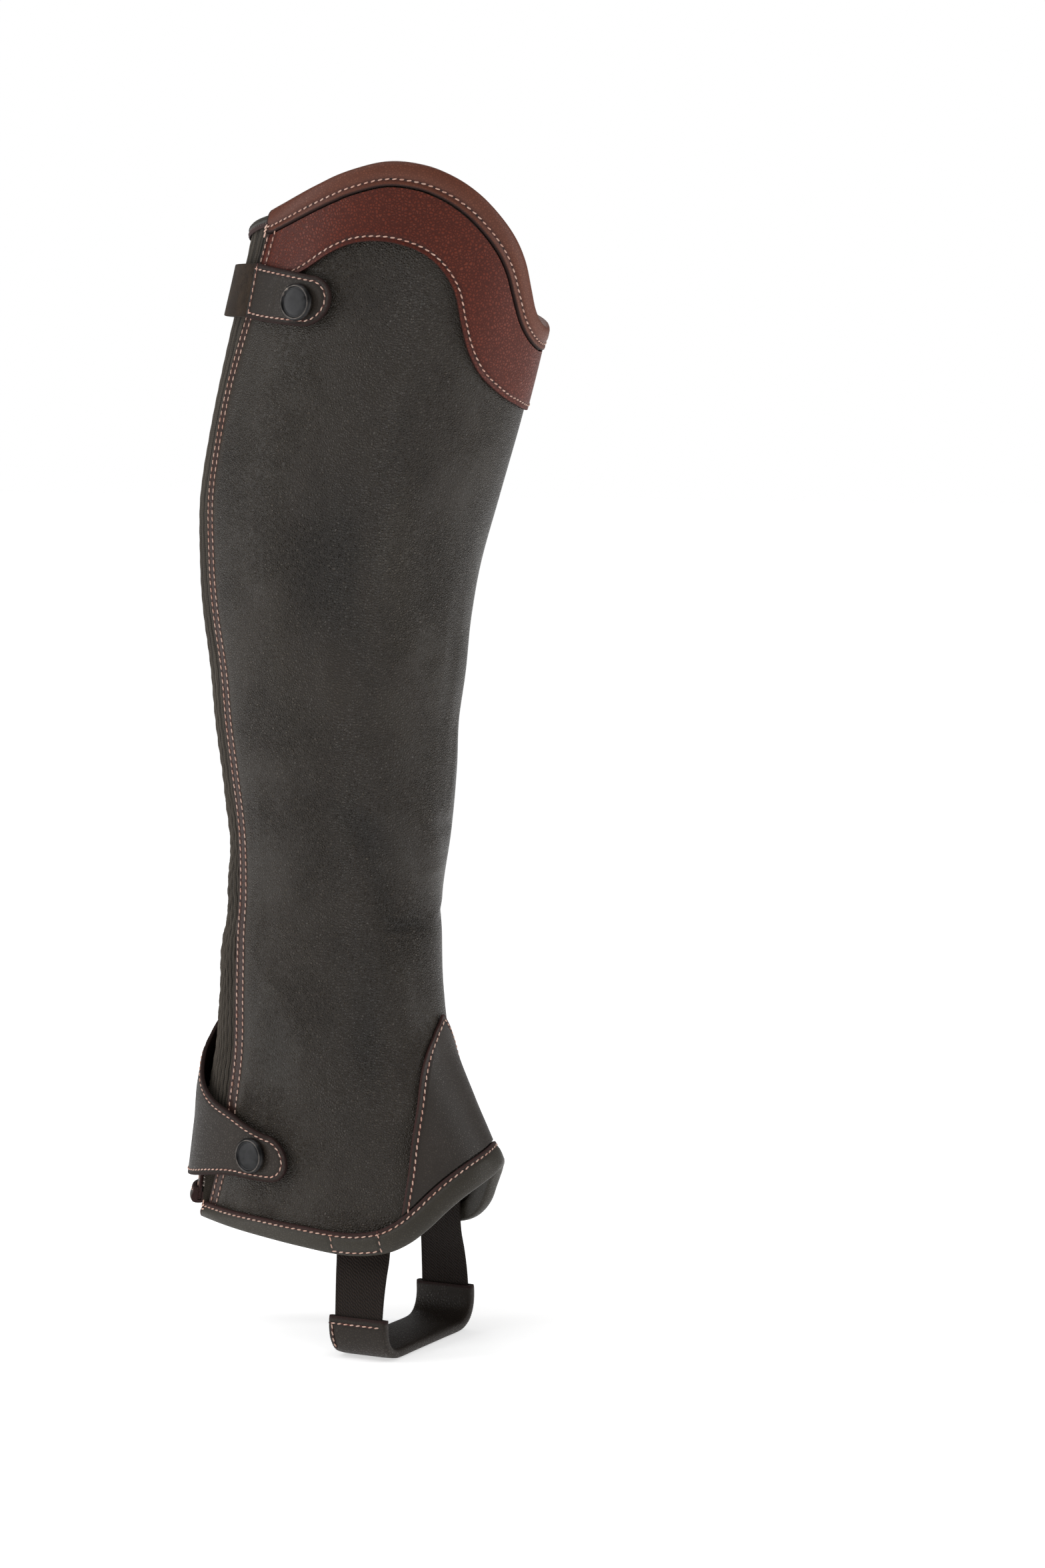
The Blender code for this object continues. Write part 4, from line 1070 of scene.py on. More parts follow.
elasticTab = tabPiece(
    "tab_elastic", tabs["elastic"], 0, tabs["elasticThick"], 2.0, finishes["plush"],
    "upper_tab_elastic", (),
)
upperTab = tabPiece(
    "snap_tab_upper", tabs["upper"], tabs["upperTip"], tabs["thick"], 1.2, finishes["tabLeather"],
    "upper_tab", ("low", "high", "end"), upperTabCreases,
)
lowerTab = tabPiece(
    "snap_tab_lower", tabs["lower"], tabs["lowerTip"], tabs["thick"], 1.0, finishes["tabLeather"],
    "lower_tab", ("low", "high", "end"), lowerTabCreases,
)
print("half chap: patch and tabs cut")

# Zip: two tapes behind the gap, with the teeth between
zipLook = {
    "top": 444.0, "end": 70.0, "tapeWide": 15.0, "tapeHalfGap": 0.15, "slider": 433.0,
    "firstTooth": 71.5, "toothTop": 426.0, "toothAside": 0.95, "toothOut": -1.85, "toothRise": 0.90625,
}


def zipTape(name, start, end, replaced):
    across = spacedShares(zipLook["tapeWide"], 1.9)
    along = [i / 150 for i in range(151)]

    def place(u, v):
        height = between(zipLook["end"], zipLook["top"], v)
        return besideLine("zip", height, between(start, end, u)), height

    def skins(u, v, angle, height):
        # a corded edge along the teeth
        gap = abs(between(start, end, u))
        cordUp = 0.35 * max(0.0, 1 - (gap / 1.4) ** 2)
        return layers["tapeOuter"] + cordUp, layers["tapeInner"]

    piece = finishMesh(name, sewnSheet(name, across, along, place, skins), finishes["tape"], replaced)


zipTape("zip_tape_outer_side", zipLook["tapeHalfGap"], zipLook["tapeWide"], "zip_tape_outer")
zipTape("zip_tape_inner_side", -zipLook["tapeWide"], -zipLook["tapeHalfGap"], "zip_tape_inner")


def placedFrame(angle, height, out):
    # X round the leg, Y up it, Z out of it
    point, roundLeg, normal = legPlace(angle, height)
    across = roundLeg.normalized()
    upward = normal.cross(across)
    turned = Matrix((across, upward, normal)).transposed().to_4x4()
    turned.translation = (point + normal * out) * mm
    return turned


def repeatPiece(name, template, places, material):
    # one small shape set at every place
    whole = bmesh.new()
    whole.loops.layers.uv.new("flat")
    holder = bpy.data.meshes.new(name + "_one")
    for turned in places:
        single = template.copy()
        bmesh.ops.transform(single, matrix=turned, verts=single.verts[:])
        single.to_mesh(holder)
        single.free()
        whole.from_mesh(holder)
    bpy.data.meshes.remove(holder)
    finishMesh(name, whole, material, None, turnOut=False)


def toothTemplate():
    tooth = bmesh.new()
    bmesh.ops.create_cube(tooth, size=1.0)
    bmesh.ops.scale(tooth, vec=(2.5 * mm, 0.82 * mm, 1.25 * mm), verts=tooth.verts[:])
    bmesh.ops.bevel(
        tooth, geom=tooth.edges[:], offset=0.2 * mm, affect="EDGES", segments=1, profile=0.5, material=-1,
    )
    return tooth


def zipTeeth():
    # by turns on the one tape and the other
    places = []
    height, side = zipLook["firstTooth"], -1
    while height < zipLook["toothTop"]:
        angle = besideLine("zip", height, zipLook["toothAside"] * side)
        places.append(placedFrame(angle, height, zipLook["toothOut"] + foldOut(0, height)))
        height += zipLook["toothRise"]
        side = -side
    repeatPiece("zip_teeth", toothTemplate(), places, finishes["zipMetal"])


zipTeeth()

# Slider and its pull: X across the zip, Y up it, Z out of it
sliderLook = {
    "wide": 9.0, "long": 11.0, "plate": (0.5, 1.9), "core": (4.8, 9.4, -1.9, 1.0), "bridgeWide": 2.0,
    "bridgeThick": 1.0,
    "arch": [
        (4.0, 0.9), (4.02, 2.2), (3.85, 3.4), (3.3, 4.25), (2.3, 4.62), (0, 4.7), (-2.3, 4.62), (-3.3, 4.25),
        (-3.85, 3.4), (-4.02, 2.2), (-4.0, 0.9),
    ],
    "hinge": (3.0, 1.6), "pullWide": 6.6, "pullLong": 25.0, "pullThick": 1.3, "tongueFrom": 5.1,
    "eye": [
        (-2.5, -4.9), (-2.5, -3.0), (-2.5, -1.2), (-2.2, -0.35), (-1.3, -0.02), (0, 0), (1.3, -0.02),
        (2.2, -0.35), (2.5, -1.2), (2.5, -3.0), (2.5, -4.9),
    ],
}


def takeIn(whole, part):
    # adds one mesh to another
    holder = bpy.data.meshes.new("holder")
    part.to_mesh(holder)
    part.free()
    whole.from_mesh(holder)
    bpy.data.meshes.remove(holder)


def roundedBlock(mesh, size, middle, rounded, segments=2, narrow=1.0):
    # a block with softened edges; narrow draws in its lower end
    made = bmesh.ops.create_cube(mesh, size=1.0)["verts"]
    bmesh.ops.scale(mesh, vec=Vector(size) * mm, verts=made)
    for vert in made:
        if vert.co.y < 0:
            vert.co.x *= narrow
    bmesh.ops.translate(mesh, vec=Vector(middle) * mm, verts=made)
    sides = list({edge for vert in made for edge in vert.link_edges})
    bmesh.ops.bevel(
        mesh, geom=sides, offset=rounded * mm, affect="EDGES", segments=segments, profile=0.5, material=-1,
        clamp_overlap=True,
    )


def barRings(path, wide, thick, across):
    # rings of a softly squared bar along a path of points in one plane, across is that plane's normal
    rings = []
    for number, point in enumerate(path):
        ahead, behind = path[min(number + 1, len(path) - 1)], path[max(number - 1, 0)]
        along = (ahead - behind).normalized()
        out = along.cross(across).normalized()
        ring = []
        for i in range(12):
            turn = 2 * pi * i / 12 + pi / 12
            x, y = (max(-0.5, min(0.5, 0.62 * f(turn))) for f in (cos, sin))
            ring.append((point + across * x * wide + out * y * thick) * mm)
        rings.append(ring)
    return rings


def sliderPiece():
    look = sliderLook
    turned = placedFrame(besideLine("zip", zipLook["slider"], 0), zipLook["slider"], 0)
    low, high = look["plate"]
    mesh = bmesh.new()
    roundedBlock(mesh, (look["wide"], look["long"], high - low), (0, 0, (low + high) / 2), 0.5, 3, narrow=0.8)
    wide, long, coreLow, coreHigh = look["core"]
    roundedBlock(mesh, (wide, long, coreHigh - coreLow), (0, 0, (coreLow + coreHigh) / 2), 0.4, 2, narrow=0.85)
    path = [Vector((0, y, z)) for y, z in look["arch"]]
    takeIn(mesh, sweptStrip(barRings(path, look["bridgeWide"], look["bridgeThick"], Vector((1, 0, 0)))))
    bmesh.ops.recalc_face_normals(mesh, faces=mesh.faces[:])
    bmesh.ops.transform(mesh, matrix=turned, verts=mesh.verts[:])
    finishMesh("slider_body", mesh, finishes["zipMetal"], "zip_slider", sharp=45, turnOut=False)


def pullPiece():
    look = sliderLook
    out, down = look["hinge"]
    turned = placedFrame(besideLine("zip", zipLook["slider"], 0), zipLook["slider"], 0)
    turned = turned @ Matrix.Translation(Vector((0, -down, out)) * mm)
    half = look["pullWide"] / 2
    mesh = bmesh.new()
    path = [Vector((x, y, 0)) for x, y in look["eye"]]
    takeIn(mesh, sweptStrip(barRings(path, look["pullThick"], 1.5, Vector((0, 0, 1)))))
    top = look["tongueFrom"]
    long = look["pullLong"] - look["pullThick"] / 2 - top
    tongue = bmesh.new()
    made = bmesh.ops.create_cube(tongue, size=1.0)["verts"]
    bmesh.ops.scale(tongue, vec=Vector((2 * half, long, look["pullThick"])) * mm, verts=made)
    bmesh.ops.translate(tongue, vec=Vector((0, -top - long / 2, 0)) * mm, verts=made)
    corners = [edge for edge in tongue.edges if abs(edge.verts[0].co.z - edge.verts[1].co.z) > 0.5 * mm]
    bmesh.ops.bevel(tongue, geom=corners, offset=2.0 * mm, affect="EDGES", segments=6, profile=0.5, material=-1)
    # a sunk panel on both faces, and thinner sides and end
    faces = [face for face in tongue.faces if abs(face.normal.z) > 0.9]
    for inward, deep in ((0.3, 0.0), (1.0, 0.0), (0.3, -0.28)):
        bmesh.ops.inset_region(tongue, faces=faces, thickness=inward * mm, depth=deep * mm)
    for vert in tongue.verts:
        if abs(abs(vert.co.x) - half * mm) < 0.02 * mm or abs(vert.co.y + (top + long) * mm) < 0.02 * mm:
            vert.co.z *= 0.72
    takeIn(mesh, tongue)
    bmesh.ops.recalc_face_normals(mesh, faces=mesh.faces[:])
    bmesh.ops.transform(mesh, matrix=turned, verts=mesh.verts[:])
    finishMesh("pull_tab", mesh, finishes["zipMetal"], "zip_pull", "zip_pull", sharp=45, turnOut=False)


sliderPiece()
pullPiece()
print("half chap: zip laid")

# Press studs
snaps = {
    # angle, height, how far the tab's underside stands off the leather there
    "places": {"upper": (82.8, 451.6, 2.3), "lower": (70.7, 91.8, 2.3)},
    "radius": 7.7, "high": 2.6, "overTab": 0.3, "steps": 72,
}


def snapCap(name, angle, height, lift):
    rim, high = snaps["radius"], snaps["high"]
    profile = [
        (0, 0), (rim - 0.5, 0), (rim - 0.1, 0.35), (rim, 0.9), (rim, 1.35), (rim - 0.2, 1.85), (rim - 0.55, 2.25),
        (rim - 0.8, high - 0.06), (rim - 1.05, high), (rim - 1.25, high - 0.08), (rim - 1.38, high - 0.3),
        (rim - 1.5, high - 0.62), (rim - 1.7, high - 0.7), (rim - 1.95, high - 0.7), (rim - 2.15, high - 0.6),
        (rim - 2.5, high - 0.52), (rim - 4.6, high - 0.46), (0, high - 0.42),
    ]
    mesh = bmesh.new()
    chain = [mesh.verts.new((radius * mm, 0, up * mm)) for radius, up in profile]
    links = [mesh.edges.new(pair) for pair in zip(chain, chain[1:])]
    bmesh.ops.spin(
        mesh, geom=chain + links, cent=(0, 0, 0), axis=(0, 0, 1), angle=2 * pi, steps=snaps["steps"],
        use_merge=True,
    )
    bmesh.ops.remove_doubles(mesh, verts=mesh.verts[:], dist=0.00001)
    out = lift + tabs["thick"] + snaps["overTab"]
    bmesh.ops.transform(mesh, matrix=placedFrame(angle, height, out), verts=mesh.verts[:])
    finishMesh(name + "_cap", mesh, finishes["gunmetal"], f"{name}_snap_cap", sharp=60)


for snapName, snapPlace in snaps["places"].items():
    snapCap(snapName, *snapPlace)
for plainNode in ("upper_snap_stud", "lower_snap_stud"):
    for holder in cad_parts[plainNode].material_slots:
        holder.material = finishes["gunmetal"]
print("half chap: snaps set")

# Strap under the boot: across, height, and how far its flat is turned towards the leather
footStrap = {
    "y": -33.0, "wide": 23.0, "thick": 1.5, "sleeveWide": 28.0, "sleeveThick": 4.3, "sleeveTop": 26.0,
    "path": [
        (0, 9.8, 0), (14, 9.8, 0), (27, 9.8, 0), (31.5, 10.5, 0), (35.5, 12.8, 0), (38, 16.6, 0), (38.9, 21, 0),
        (38.7, 26, 0), (37.9, 34, 0.04), (36.5, 43, 0.12), (35, 50, 0.2), (34.3, 57, 0.24), (34.1, 66, 0.24),
    ],
}


def strapLine():
    half = footStrap["path"]
    spots = [(-across, height, -skew) for across, height, skew in reversed(half[1:])] + half
    table, run = [], 0.0
    for number, (across, height, skew) in enumerate(spots):
        if number:
            run += hypot(across - spots[number - 1][0], height - spots[number - 1][1])
        table.append((run, across, height, skew))
    return table


strapTable = strapLine()


def strapSpot(run, aside, out):
    # a place on the strap: aside from its middle towards the back, out from its middle thickness
    across, height, skew = (smoothCurve(strapTable, run, n) for n in (1, 2, 3))
    ahead, behind = run + 0.5, run - 0.5
    along = Vector((
        smoothCurve(strapTable, ahead, 1) - smoothCurve(strapTable, behind, 1), 0,
        smoothCurve(strapTable, ahead, 2) - smoothCurve(strapTable, behind, 2)))
    if along.length < 0.2:
        along = Vector((0, 0, 1 if run > 1 else -1))
    outward = Vector((along.z, 0, -along.x)).normalized()
    place = Vector((across, footStrap["y"], height - legForm["ankle"]))
    return (place + outward * out + Vector((skew * aside, aside, 0))) * mm


def strapRuns(lowest, highest, step):
    count = ceil((highest - lowest) / step)
    return [between(lowest, highest, i / count) for i in range(count + 1)]


def webbingSection(wide, thick):
    half = wide / 2
    # a little thicker along both edges
    beads = [-half + 0.5, -half + 1.0, -half + 1.6, -half + 2.4]
    inner = [half * (i / 5 - 1) * 0.74 for i in range(11)]
    whole = beads + inner + [-x for x in reversed(beads)]
    face = [(x, thick / 2 * (1.0 if abs(x) > half - 1.2 else 0.86)) for x in whole]
    return [(-half, 0.0), *face, (half, 0.0), *[(x, -out) for x, out in reversed(face)]]


webbingRings = [
    [strapSpot(run, aside, out) for aside, out in webbingSection(footStrap["wide"], footStrap["thick"])]
    for run in strapRuns(0.0, strapTable[-1][0], 1.6)
]
webbing = finishMesh(
    "elastic_strap", sweptStrip(webbingRings), finishes["webbing"], "strap_webbing", sharp=60,
)


def tubeRing(half, side, lift):
    # one ring of a flat tube: its middle, and side for what rounds its edges
    upper = side + [(x, lift(x)) for x in (-8, -4, 0, 4, 8)] + [(-x, out) for x, out in reversed(side)]
    return [(-half, 0.0), *upper, (half, 0.0), *[(x, -out) for x, out in reversed(upper)]]


def sleevePiece():
    # leather folded round the webbing: an outer and an inner tube, joined at both ends
    covered = [row[0] for row in strapTable if row[2] <= footStrap["sleeveTop"]]
    low, high = covered[0], max(covered)
    runs = strapRuns(low, high, 1.6)
    half, thick = footStrap["sleeveWide"] / 2, footStrap["sleeveThick"] / 2

    def outerRing(run, trim):
        swell = 0.16 * sin(run / 7.0) + 0.1 * sin(run / 3.1 + 1)
        lift = thick - trim
        side = [(-half + 0.25, lift * 0.55), (-half + 0.8, lift * 0.85), (-half + 2.2, lift - 0.1)]
        return tubeRing(half, side, lambda x: lift - 0.05 + swell * 0.4)

    wide, lift = footStrap["wide"] / 2 + 0.35, footStrap["thick"] / 2 + 0.3
    inner = tubeRing(wide, [(-wide + 0.1, lift * 0.6), (-wide + 0.5, lift), (-wide + 2.0, lift)], lambda x: lift)
    rings = []
    for run in runs:
        trim = 0.45 if run in (runs[0], runs[-1]) else 0.0
        rings.append([strapSpot(run, aside, out) for aside, out in outerRing(run, trim)])
    for run in reversed(runs):
        rings.append([strapSpot(run, aside, out) for aside, out in inner])
    edgePoints["sole_leather"] = rings[0] + rings[len(runs) - 1]
    mesh = sweptStrip(rings, closedEnds=False)
    piece = finishMesh("sole_leather", mesh, finishes["tabLeather"], "sole_sleeve", sharp=60)
    clothPieces.append(piece)
    return low, high


sleeveLow, sleeveHigh = sleevePiece()
print("half chap: strap and sleeve made")

# Sewing. Each row is a line of places; a stitch every pitch, slightly slanted, with its needle holes.
sewing = {
    "pitch": 3.0, "long": 2.0, "wide": 0.62, "high": 0.56, "slant": 10.0, "unevenSlant": 3.0, "lift": 0.12,
    "hole": (1.70, 1.05, 0.32), "markEvery": 0.8, "finePitch": 2.4,
    # how far in from its edge or seam each row lies
    "seamRows": (2.4, 6.7), "underTop": 10.2, "bandRim": 2.1, "patchRim": 2.2, "upperRim": 2.2,
    "lowerRim": 2.3, "zipRim": 2.6, "boxRim": 1.6, "tackAside": 1.2,
    # from where to where it runs: heights, angles, and ways across and down the sleeve
    "seamHeights": (64.0, 486.0), "zipHeights": (70.0, 470.0), "patchHeights": (58.0, 148.2),
    "crossHeights": (446.5, 467.0), "boxAngles": ((97.5, 113.8), (246.2, 262.5)),
    "sleeveAcross": (-11.4, 11.6), "sleeveDown": (3.0, 14.0),
}


def stitchTemplate():
    stitch = bmesh.new()
    flat = stitch.loops.layers.uv.new("flat")
    bmesh.ops.create_uvsphere(stitch, u_segments=8, v_segments=6, radius=0.5)
    bmesh.ops.rotate(stitch, cent=(0, 0, 0), matrix=Matrix.Rotation(pi / 2, 3, "Y"), verts=stitch.verts[:])
    for vert in stitch.verts:
        blunt = sqrt(max(0.0, 1 - (abs(vert.co.x) * 2) ** 4))
        around = hypot(vert.co.y, vert.co.z)
        if around > 0.001:
            vert.co.y *= 0.5 * blunt / around
            vert.co.z *= 0.5 * blunt / around
    for face in stitch.faces:
        for loop in face.loops:
            loop[flat].uv = (loop.vert.co.x, loop.vert.co.y)
    size = Vector((sewing["long"], sewing["wide"], sewing["high"])) * mm
    bmesh.ops.scale(stitch, vec=size, verts=stitch.verts[:])
    return stitch


def holeTemplate():
    hole = bmesh.new()
    hole.loops.layers.uv.new("flat")
    bmesh.ops.create_uvsphere(hole, u_segments=8, v_segments=4, radius=0.5)
    bmesh.ops.scale(hole, vec=Vector(sewing["hole"]) * mm, verts=hole.verts[:])
    return hole


def sampled(line, pitch):
    # frames at even runs along a line of (point, normal)
    marks, run, pitch = [], 0.0, pitch * mm
    wanted = pitch / 2
    for (point, normal), (nextPoint, _) in zip(line, line[1:]):
        step = nextPoint - point
        length = step.length
        while length and run + length >= wanted:
            share = (wanted - run) / length
            along = step.normalized()
            upward = (normal - along * normal.dot(along)).normalized()
            turned = Matrix((along, upward.cross(along), upward)).transposed().to_4x4()
            turned.translation = point + step * share
            marks.append(turned)
            wanted += pitch
        run += length
    return marks


def onLeather(places):
    # a row from places of (angle, height, out)
    return [(layOn(angle, height, out), legPlace(angle, height)[2]) for angle, height, out in places]


sewn = ("seam_sewing", "edge_sewing", "tab_sewing", "strap_sewing", "gusset_sewing")
stitchFrames = {group: [] for group in sewn}
holeFrames = []


def sewRow(group, line, on, pitch=sewing["pitch"]):
    up = Matrix.Translation((0, 0, sewing["lift"] * mm))
    stitches = sampled(line, pitch)
    for number, turned in enumerate(stitches):
        wobble = sewing["slant"] + sewing["unevenSlant"] * sin(number * 2.4)
        stitchFrames[group].append(turned @ up @ Matrix.Rotation(radians(wobble), 4, "Z"))
    for turned in stitches:
        holeFrames.append(turned @ Matrix.Translation((pitch / 2 * mm, 0, 0)))
    for name in on:
        marks = sampled(line, sewing["markEvery"])
        rowPoints.setdefault(name, []).extend(turned.translation.copy() for turned in marks)


def overBand(angle, height):
    # a row's place, which steps up where the band lies on the leather
    low = smoothCurve(edges["band"], angle)
    return angle, height, bandFace * ramped(height, low - 0.2, low + 0.8)


def uprightRow(heights, steps, line, aside, turn=0):
    # a row up the leg beside one of its long seams, which ends below the top binding
    places = []
    for i in range(steps + 1):
        height = between(*heights, i / steps)
        angle = besideLine(line, height, aside) + turn
        if height > smoothCurve(edges["top"], angle) - sewing["underTop"]:
            break
        places.append(overBand(angle, height))
    return onLeather(places)


def edgeRow(table, angleAt, side, inwardAt, out, count=900):
    places = []
    for i in range(count + 1):
        spot = edgeFrame(edges[table], angleAt, i / count)
        places.append((*inset(spot, side * inwardAt(spot[2])), out))
    return onLeather(places)


def tabRow(table, tip, thick, rim, start):
    # round the tab's lower edge, its rounded end and its upper edge
    scale = perDegree(table[-1][0], table[-1][1])
    back = (table[-1][0] - table[0][0]) * scale
    places = []
    steps = 160
    for i in range(steps + 1):
        angle, low, _, lift = tabPlace(table, 0, -back + start + (back - start) * i / steps)
        places.append((angle, low + rim, lift + thick))
    _, low, high, lift = tabPlace(table, 0, 0.0)
    middle, half = (low + high) / 2, (high - low) / 2
    for i in range(1, 40):
        turn = pi * i / 40
        angle = table[-1][0] + (tip - rim) * sin(turn) / scale
        places.append((angle, middle - (half - rim) * cos(turn), lift + thick))
    for i in range(steps + 1):
        angle, _, high, lift = tabPlace(table, 0, -(back - start) * i / steps)
        places.append((angle, high - rim, lift + thick))
    return places


for rowAside in sewing["seamRows"]:
    seamLine = uprightRow(sewing["seamHeights"], 1099, "seam", rowAside)
    sewRow("seam_sewing", seamLine, ("leg_leather", "chestnut_band"))
topFace = layers["layerGap"] + bindings["top"]["thick"] - bindings["rowSinks"]
topLine = edgeRow("top", legAngle, 1, lambda angle: bindings["top"]["row"], topFace)
sewRow("edge_sewing", topLine, ("top_edge_binding",))
bandLine = edgeRow("band", legAngle, -1, lambda angle: sewing["bandRim"], bandFace)
sewRow("edge_sewing", bandLine, ("chestnut_band",))
lowFace = patchLift + bindings["bottom"]["thick"] - bindings["rowSinks"]
sewRow("edge_sewing", edgeRow("bottom", legAngle, -1, lowRow, lowFace), ("bottom_edge_binding",))


def patchRow():
    places = []
    heights = [between(*sewing["patchHeights"], i / 300) for i in range(301)]
    for side, order in ((-1, heights), (1, heights[::-1])):
        for height in order:
            reach = smoothCurve(frontPatch["reach"], height)
            angle = frontPatch["middle"] + side * reach
            angle -= side * sewing["patchRim"] * 1.12 / perDegree(angle, height)
            if side * (angle - frontPatch["middle"]) < 0:
                continue
            if height > smoothCurve(edges["bottom"], angle) + lowDeep(angle) + 1.0:
                places.append((angle, height, patchLift + layers["overlay"]))
    return places


sewRow("edge_sewing", onLeather(patchRow()), ("instep_patch",))
upperRow = tabRow(tabs["upper"], tabs["upperTip"], tabs["thick"], sewing["upperRim"], start=1.5)
sewRow("tab_sewing", onLeather(upperRow), ("snap_tab_upper",))
crossAngle = tabs["upper"][0][0] + 2.0 / perDegree(57, 456)
crossing = [(crossAngle, between(*sewing["crossHeights"], i / 40), 2.4 + tabs["thick"]) for i in range(41)]
sewRow("tab_sewing", onLeather(crossing), ("snap_tab_upper",))
lowerRow = tabRow(tabs["lower"], tabs["lowerTip"], tabs["thick"], sewing["lowerRim"], start=1.0)
sewRow("tab_sewing", onLeather(lowerRow), ("snap_tab_lower",))
zipLine = uprightRow(sewing["zipHeights"], 899, "zip", -legForm["zipHalfGap"] - sewing["zipRim"], turn=360)
sewRow("seam_sewing", zipLine, ("leg_leather", "chestnut_band"))


def boxRow(first, last, out):
    # three sides of a box of stitches through the binding and the strap's end
    spots = [(first, i / 20) for i in range(21)]
    spots += [(between(first, last, i / 60), 1.0) for i in range(61)]
    spots += [(last, 1 - i / 20) for i in range(21)]
    places = []
    for angle, down in spots:
        base = smoothCurve(edges["bottom"], angle)
        places.append((angle, base + between(lowRow(angle), sewing["boxRim"], down), out))
    return onLeather(places)


for boxAngles in sewing["boxAngles"]:
    boxLine = boxRow(*boxAngles, patchLift + bindings["bottom"]["thick"])
    sewRow("strap_sewing", boxLine, ("bottom_edge_binding",))


def sleeveRow(side):
    # along the sleeve's upper end and down its rear edge
    end = sleeveLow if side < 0 else sleeveHigh
    face = footStrap["sleeveThick"] / 2
    (front, rear), (start, stop) = sewing["sleeveAcross"], sewing["sleeveDown"]
    line, down = [], []
    for i in range(40):
        across = between(front, rear, i / 39)
        line.append((strapSpot(end - side * start, across, face), Vector((side, 0, 0))))
        run = end - side * between(start, stop, i / 39)
        down.append((strapSpot(run, rear, face), Vector((side, 0, -0.2))))
    return line, down


for strapSide in (-1, 1):
    for strapRow in sleeveRow(strapSide):
        sewRow("strap_sewing", strapRow, ("sole_leather",))

stretchFace = bindings["stretch"]["face"] + bindings["stretch"]["thick"] - bindings["rowSinks"]
stretchLine = edgeRow("stretchTop", stretchAngle, 1, lambda angle: bindings["stretch"]["row"], stretchFace, count=120)
sewRow("gusset_sewing", stretchLine, ("stretch_edge_binding",), pitch=sewing["finePitch"])


def tackStitch(angle, height, out, turn, size):
    # a heavy stitch where a row starts or ends
    spot = placedFrame(angle, height, out + foldOut(angle, height) + 0.2) @ Matrix.Rotation(radians(turn), 4, "Z")
    stitchFrames["edge_sewing"].append(spot @ Matrix.Diagonal((*size, 1)))


for tackAt, tackFace, tackSize, tacks in (
    (480, topFace, (1.35, 1.35, 1.2), ((482.9, 38), (481.4, 30), (479.6, 62))),
    (64, lowFace, (1.1, 1.15, 1.0), ((64.9, 28), (63.3, 12), (66.4, 70))),
):
    for tackHeight, tackTurn in tacks:
        tackAngle = besideLine("seam", tackAt, sewing["tackAside"])
        tackStitch(tackAngle, tackHeight, tackFace + 0.3, tackTurn, tackSize)

threadStitch = stitchTemplate()
for group, places in stitchFrames.items():
    thread = finishes["redThread" if group == "gusset_sewing" else "thread"]
    repeatPiece(group, threadStitch, places, thread)
repeatPiece("needle_holes", holeTemplate(), holeFrames, finishes["holes"])
print("half chap: rows sewn")


def markGaps(piece, farthest=0.02):
    # how close each of a cloth's points is to its rows of stitches and its cut edges
    for title, groups in (("stitchGap", rowPoints), ("edgeGap", edgePoints)):
        spots = groups.get(piece.name, [])
        gaps = piece.data.attributes.new(title, "FLOAT", "POINT")
        if not spots:
            for item in gaps.data:
                item.value = farthest
            continue
        tree = kdtree.KDTree(len(spots))
        for number, spot in enumerate(spots):
            tree.insert(spot, number)
        tree.balance()
        for item, vert in zip(gaps.data, piece.data.vertices):
            item.value = min(tree.find(vert.co)[2], farthest)


for cloth in clothPieces:
    markGaps(cloth)
print("half chap: grooves and edges marked")

# Floor, light and camera
studio = {
    "floor": -0.1028, "floorSize": 14.0, "floorGlow": 0.56, "roomLight": 0.20,
    "turn": -63.0, "reach": 1.7, "aside": 0.081, "high": 0.30, "tilt": 5.45, "lens": 91.29,
    "aim": (0.0, 0.0, 0.16),
    # towards the camera, to its right, up, size, power
    "lights": {
        "key_light": (0.38, -1.52, 0.50, (0.36, 1.5), 11.0), "fill_light": (0.28, 1.58, 0.50, (0.36, 1.5), 10.5),
        "back_light": (-1.3, 0.0, 1.3, (1.6, 0.8), 5.0),
    },
    "skyShines": (-0.5, 0.55, -1.5), "skyPower": 1.15, "skyWide": 55.0,
}


def floorPiece():
    mesh = bmesh.new()
    bmesh.ops.create_grid(mesh, x_segments=1, y_segments=1, size=studio["floorSize"])
    bmesh.ops.translate(mesh, vec=(0, 0, studio["floor"]), verts=mesh.verts[:])
    data = bpy.data.meshes.new("floor")
    mesh.to_mesh(data)
    mesh.free()
    material, tree, shader, place = newMaterial("paleFloor")
    cloud = blendColour(tree, noise(tree, place, 2.0), (0.86, 0.86, 0.86), (0.88, 0.88, 0.88))
    tree.links.new(cloud, shader.inputs["Base Color"])
    shader.inputs["Roughness"].default_value = 0.9
    shader.inputs["Specular IOR Level"].default_value = 0.1
    shader.inputs["Emission Color"].default_value = (1.0, 1.0, 1.0, 1.0)
    shader.inputs["Emission Strength"].default_value = studio["floorGlow"]
    data.materials.append(material)
    floor = bpy.data.objects.new("floor", data)
    bpy.context.scene.collection.objects.link(floor)


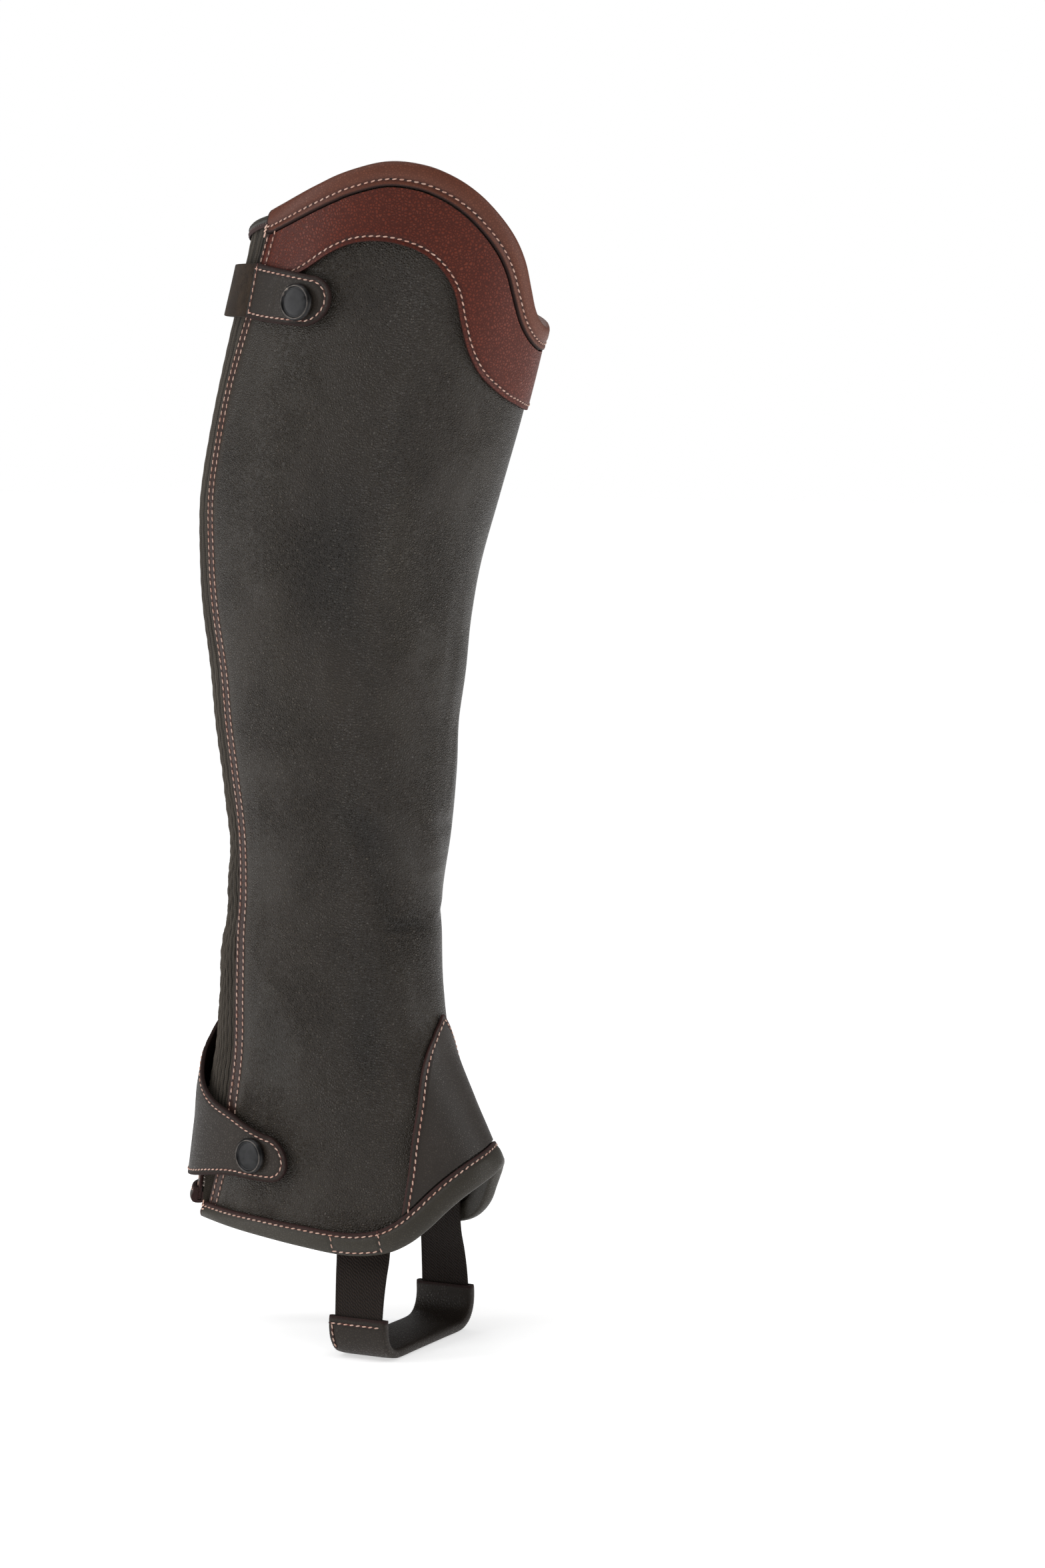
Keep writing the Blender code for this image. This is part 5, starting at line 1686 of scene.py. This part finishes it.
def addLight(name, kind, place, shines, power):
    data = bpy.data.lights.new(name, kind)
    data.energy = power
    light = bpy.data.objects.new(name, data)
    light.location = place
    light.rotation_mode = "QUATERNION"
    light.rotation_quaternion = shines.to_track_quat("-Z", "Y")
    bpy.context.scene.collection.objects.link(light)
    return data


def setCamera():
    turn = radians(studio["turn"])
    right = Vector((cos(turn), sin(turn), 0))
    toward = Vector((sin(turn), -cos(turn), 0))
    tilt = radians(studio["tilt"])
    looks = -toward * cos(tilt) + Vector((0, 0, -sin(tilt)))
    data = bpy.data.cameras.new("camera")
    data.sensor_width = 36.0
    data.lens = studio["lens"]
    data.clip_start = 0.05
    camera = bpy.data.objects.new("camera", data)
    place = right * studio["aside"] + toward * studio["reach"]
    camera.location = (place.x, place.y, studio["high"])
    camera.rotation_mode = "QUATERNION"
    camera.rotation_quaternion = looks.to_track_quat("-Z", "Y")
    bpy.context.scene.collection.objects.link(camera)
    bpy.context.scene.camera = camera
    return right, toward


def fromCamera(near, aside, up):
    return toward * near + rightward * aside + Vector((0, 0, up))


floorPiece()
rightward, toward = setCamera()
for lightName, (near, aside, up, size, power) in studio["lights"].items():
    lightPlace = fromCamera(near, aside, up)
    panel = addLight(lightName, "AREA", lightPlace, Vector(studio["aim"]) - lightPlace, power)
    panel.shape = "RECTANGLE"
    panel.size, panel.size_y = size
skyPanel = addLight("sky_panel", "SUN", (0, 0, 0), fromCamera(*studio["skyShines"]), studio["skyPower"])
skyPanel.angle = radians(studio["skyWide"])
world = bpy.data.worlds.new("studio")
world.use_nodes = True
world.node_tree.nodes["Background"].inputs[0].default_value = (1.0, 1.0, 1.0, 1.0)
seen = node(world.node_tree, "ShaderNodeLightPath").outputs["Is Camera Ray"]
level = node(world.node_tree, "ShaderNodeMapRange", {0: seen, 3: studio["roomLight"], 4: 1.0})
world.node_tree.links.new(level.outputs[0], world.node_tree.nodes["Background"].inputs[1])
bpy.context.scene.world = world
bpy.context.scene.view_settings.view_transform = "Standard"
print("half chap: studio set")
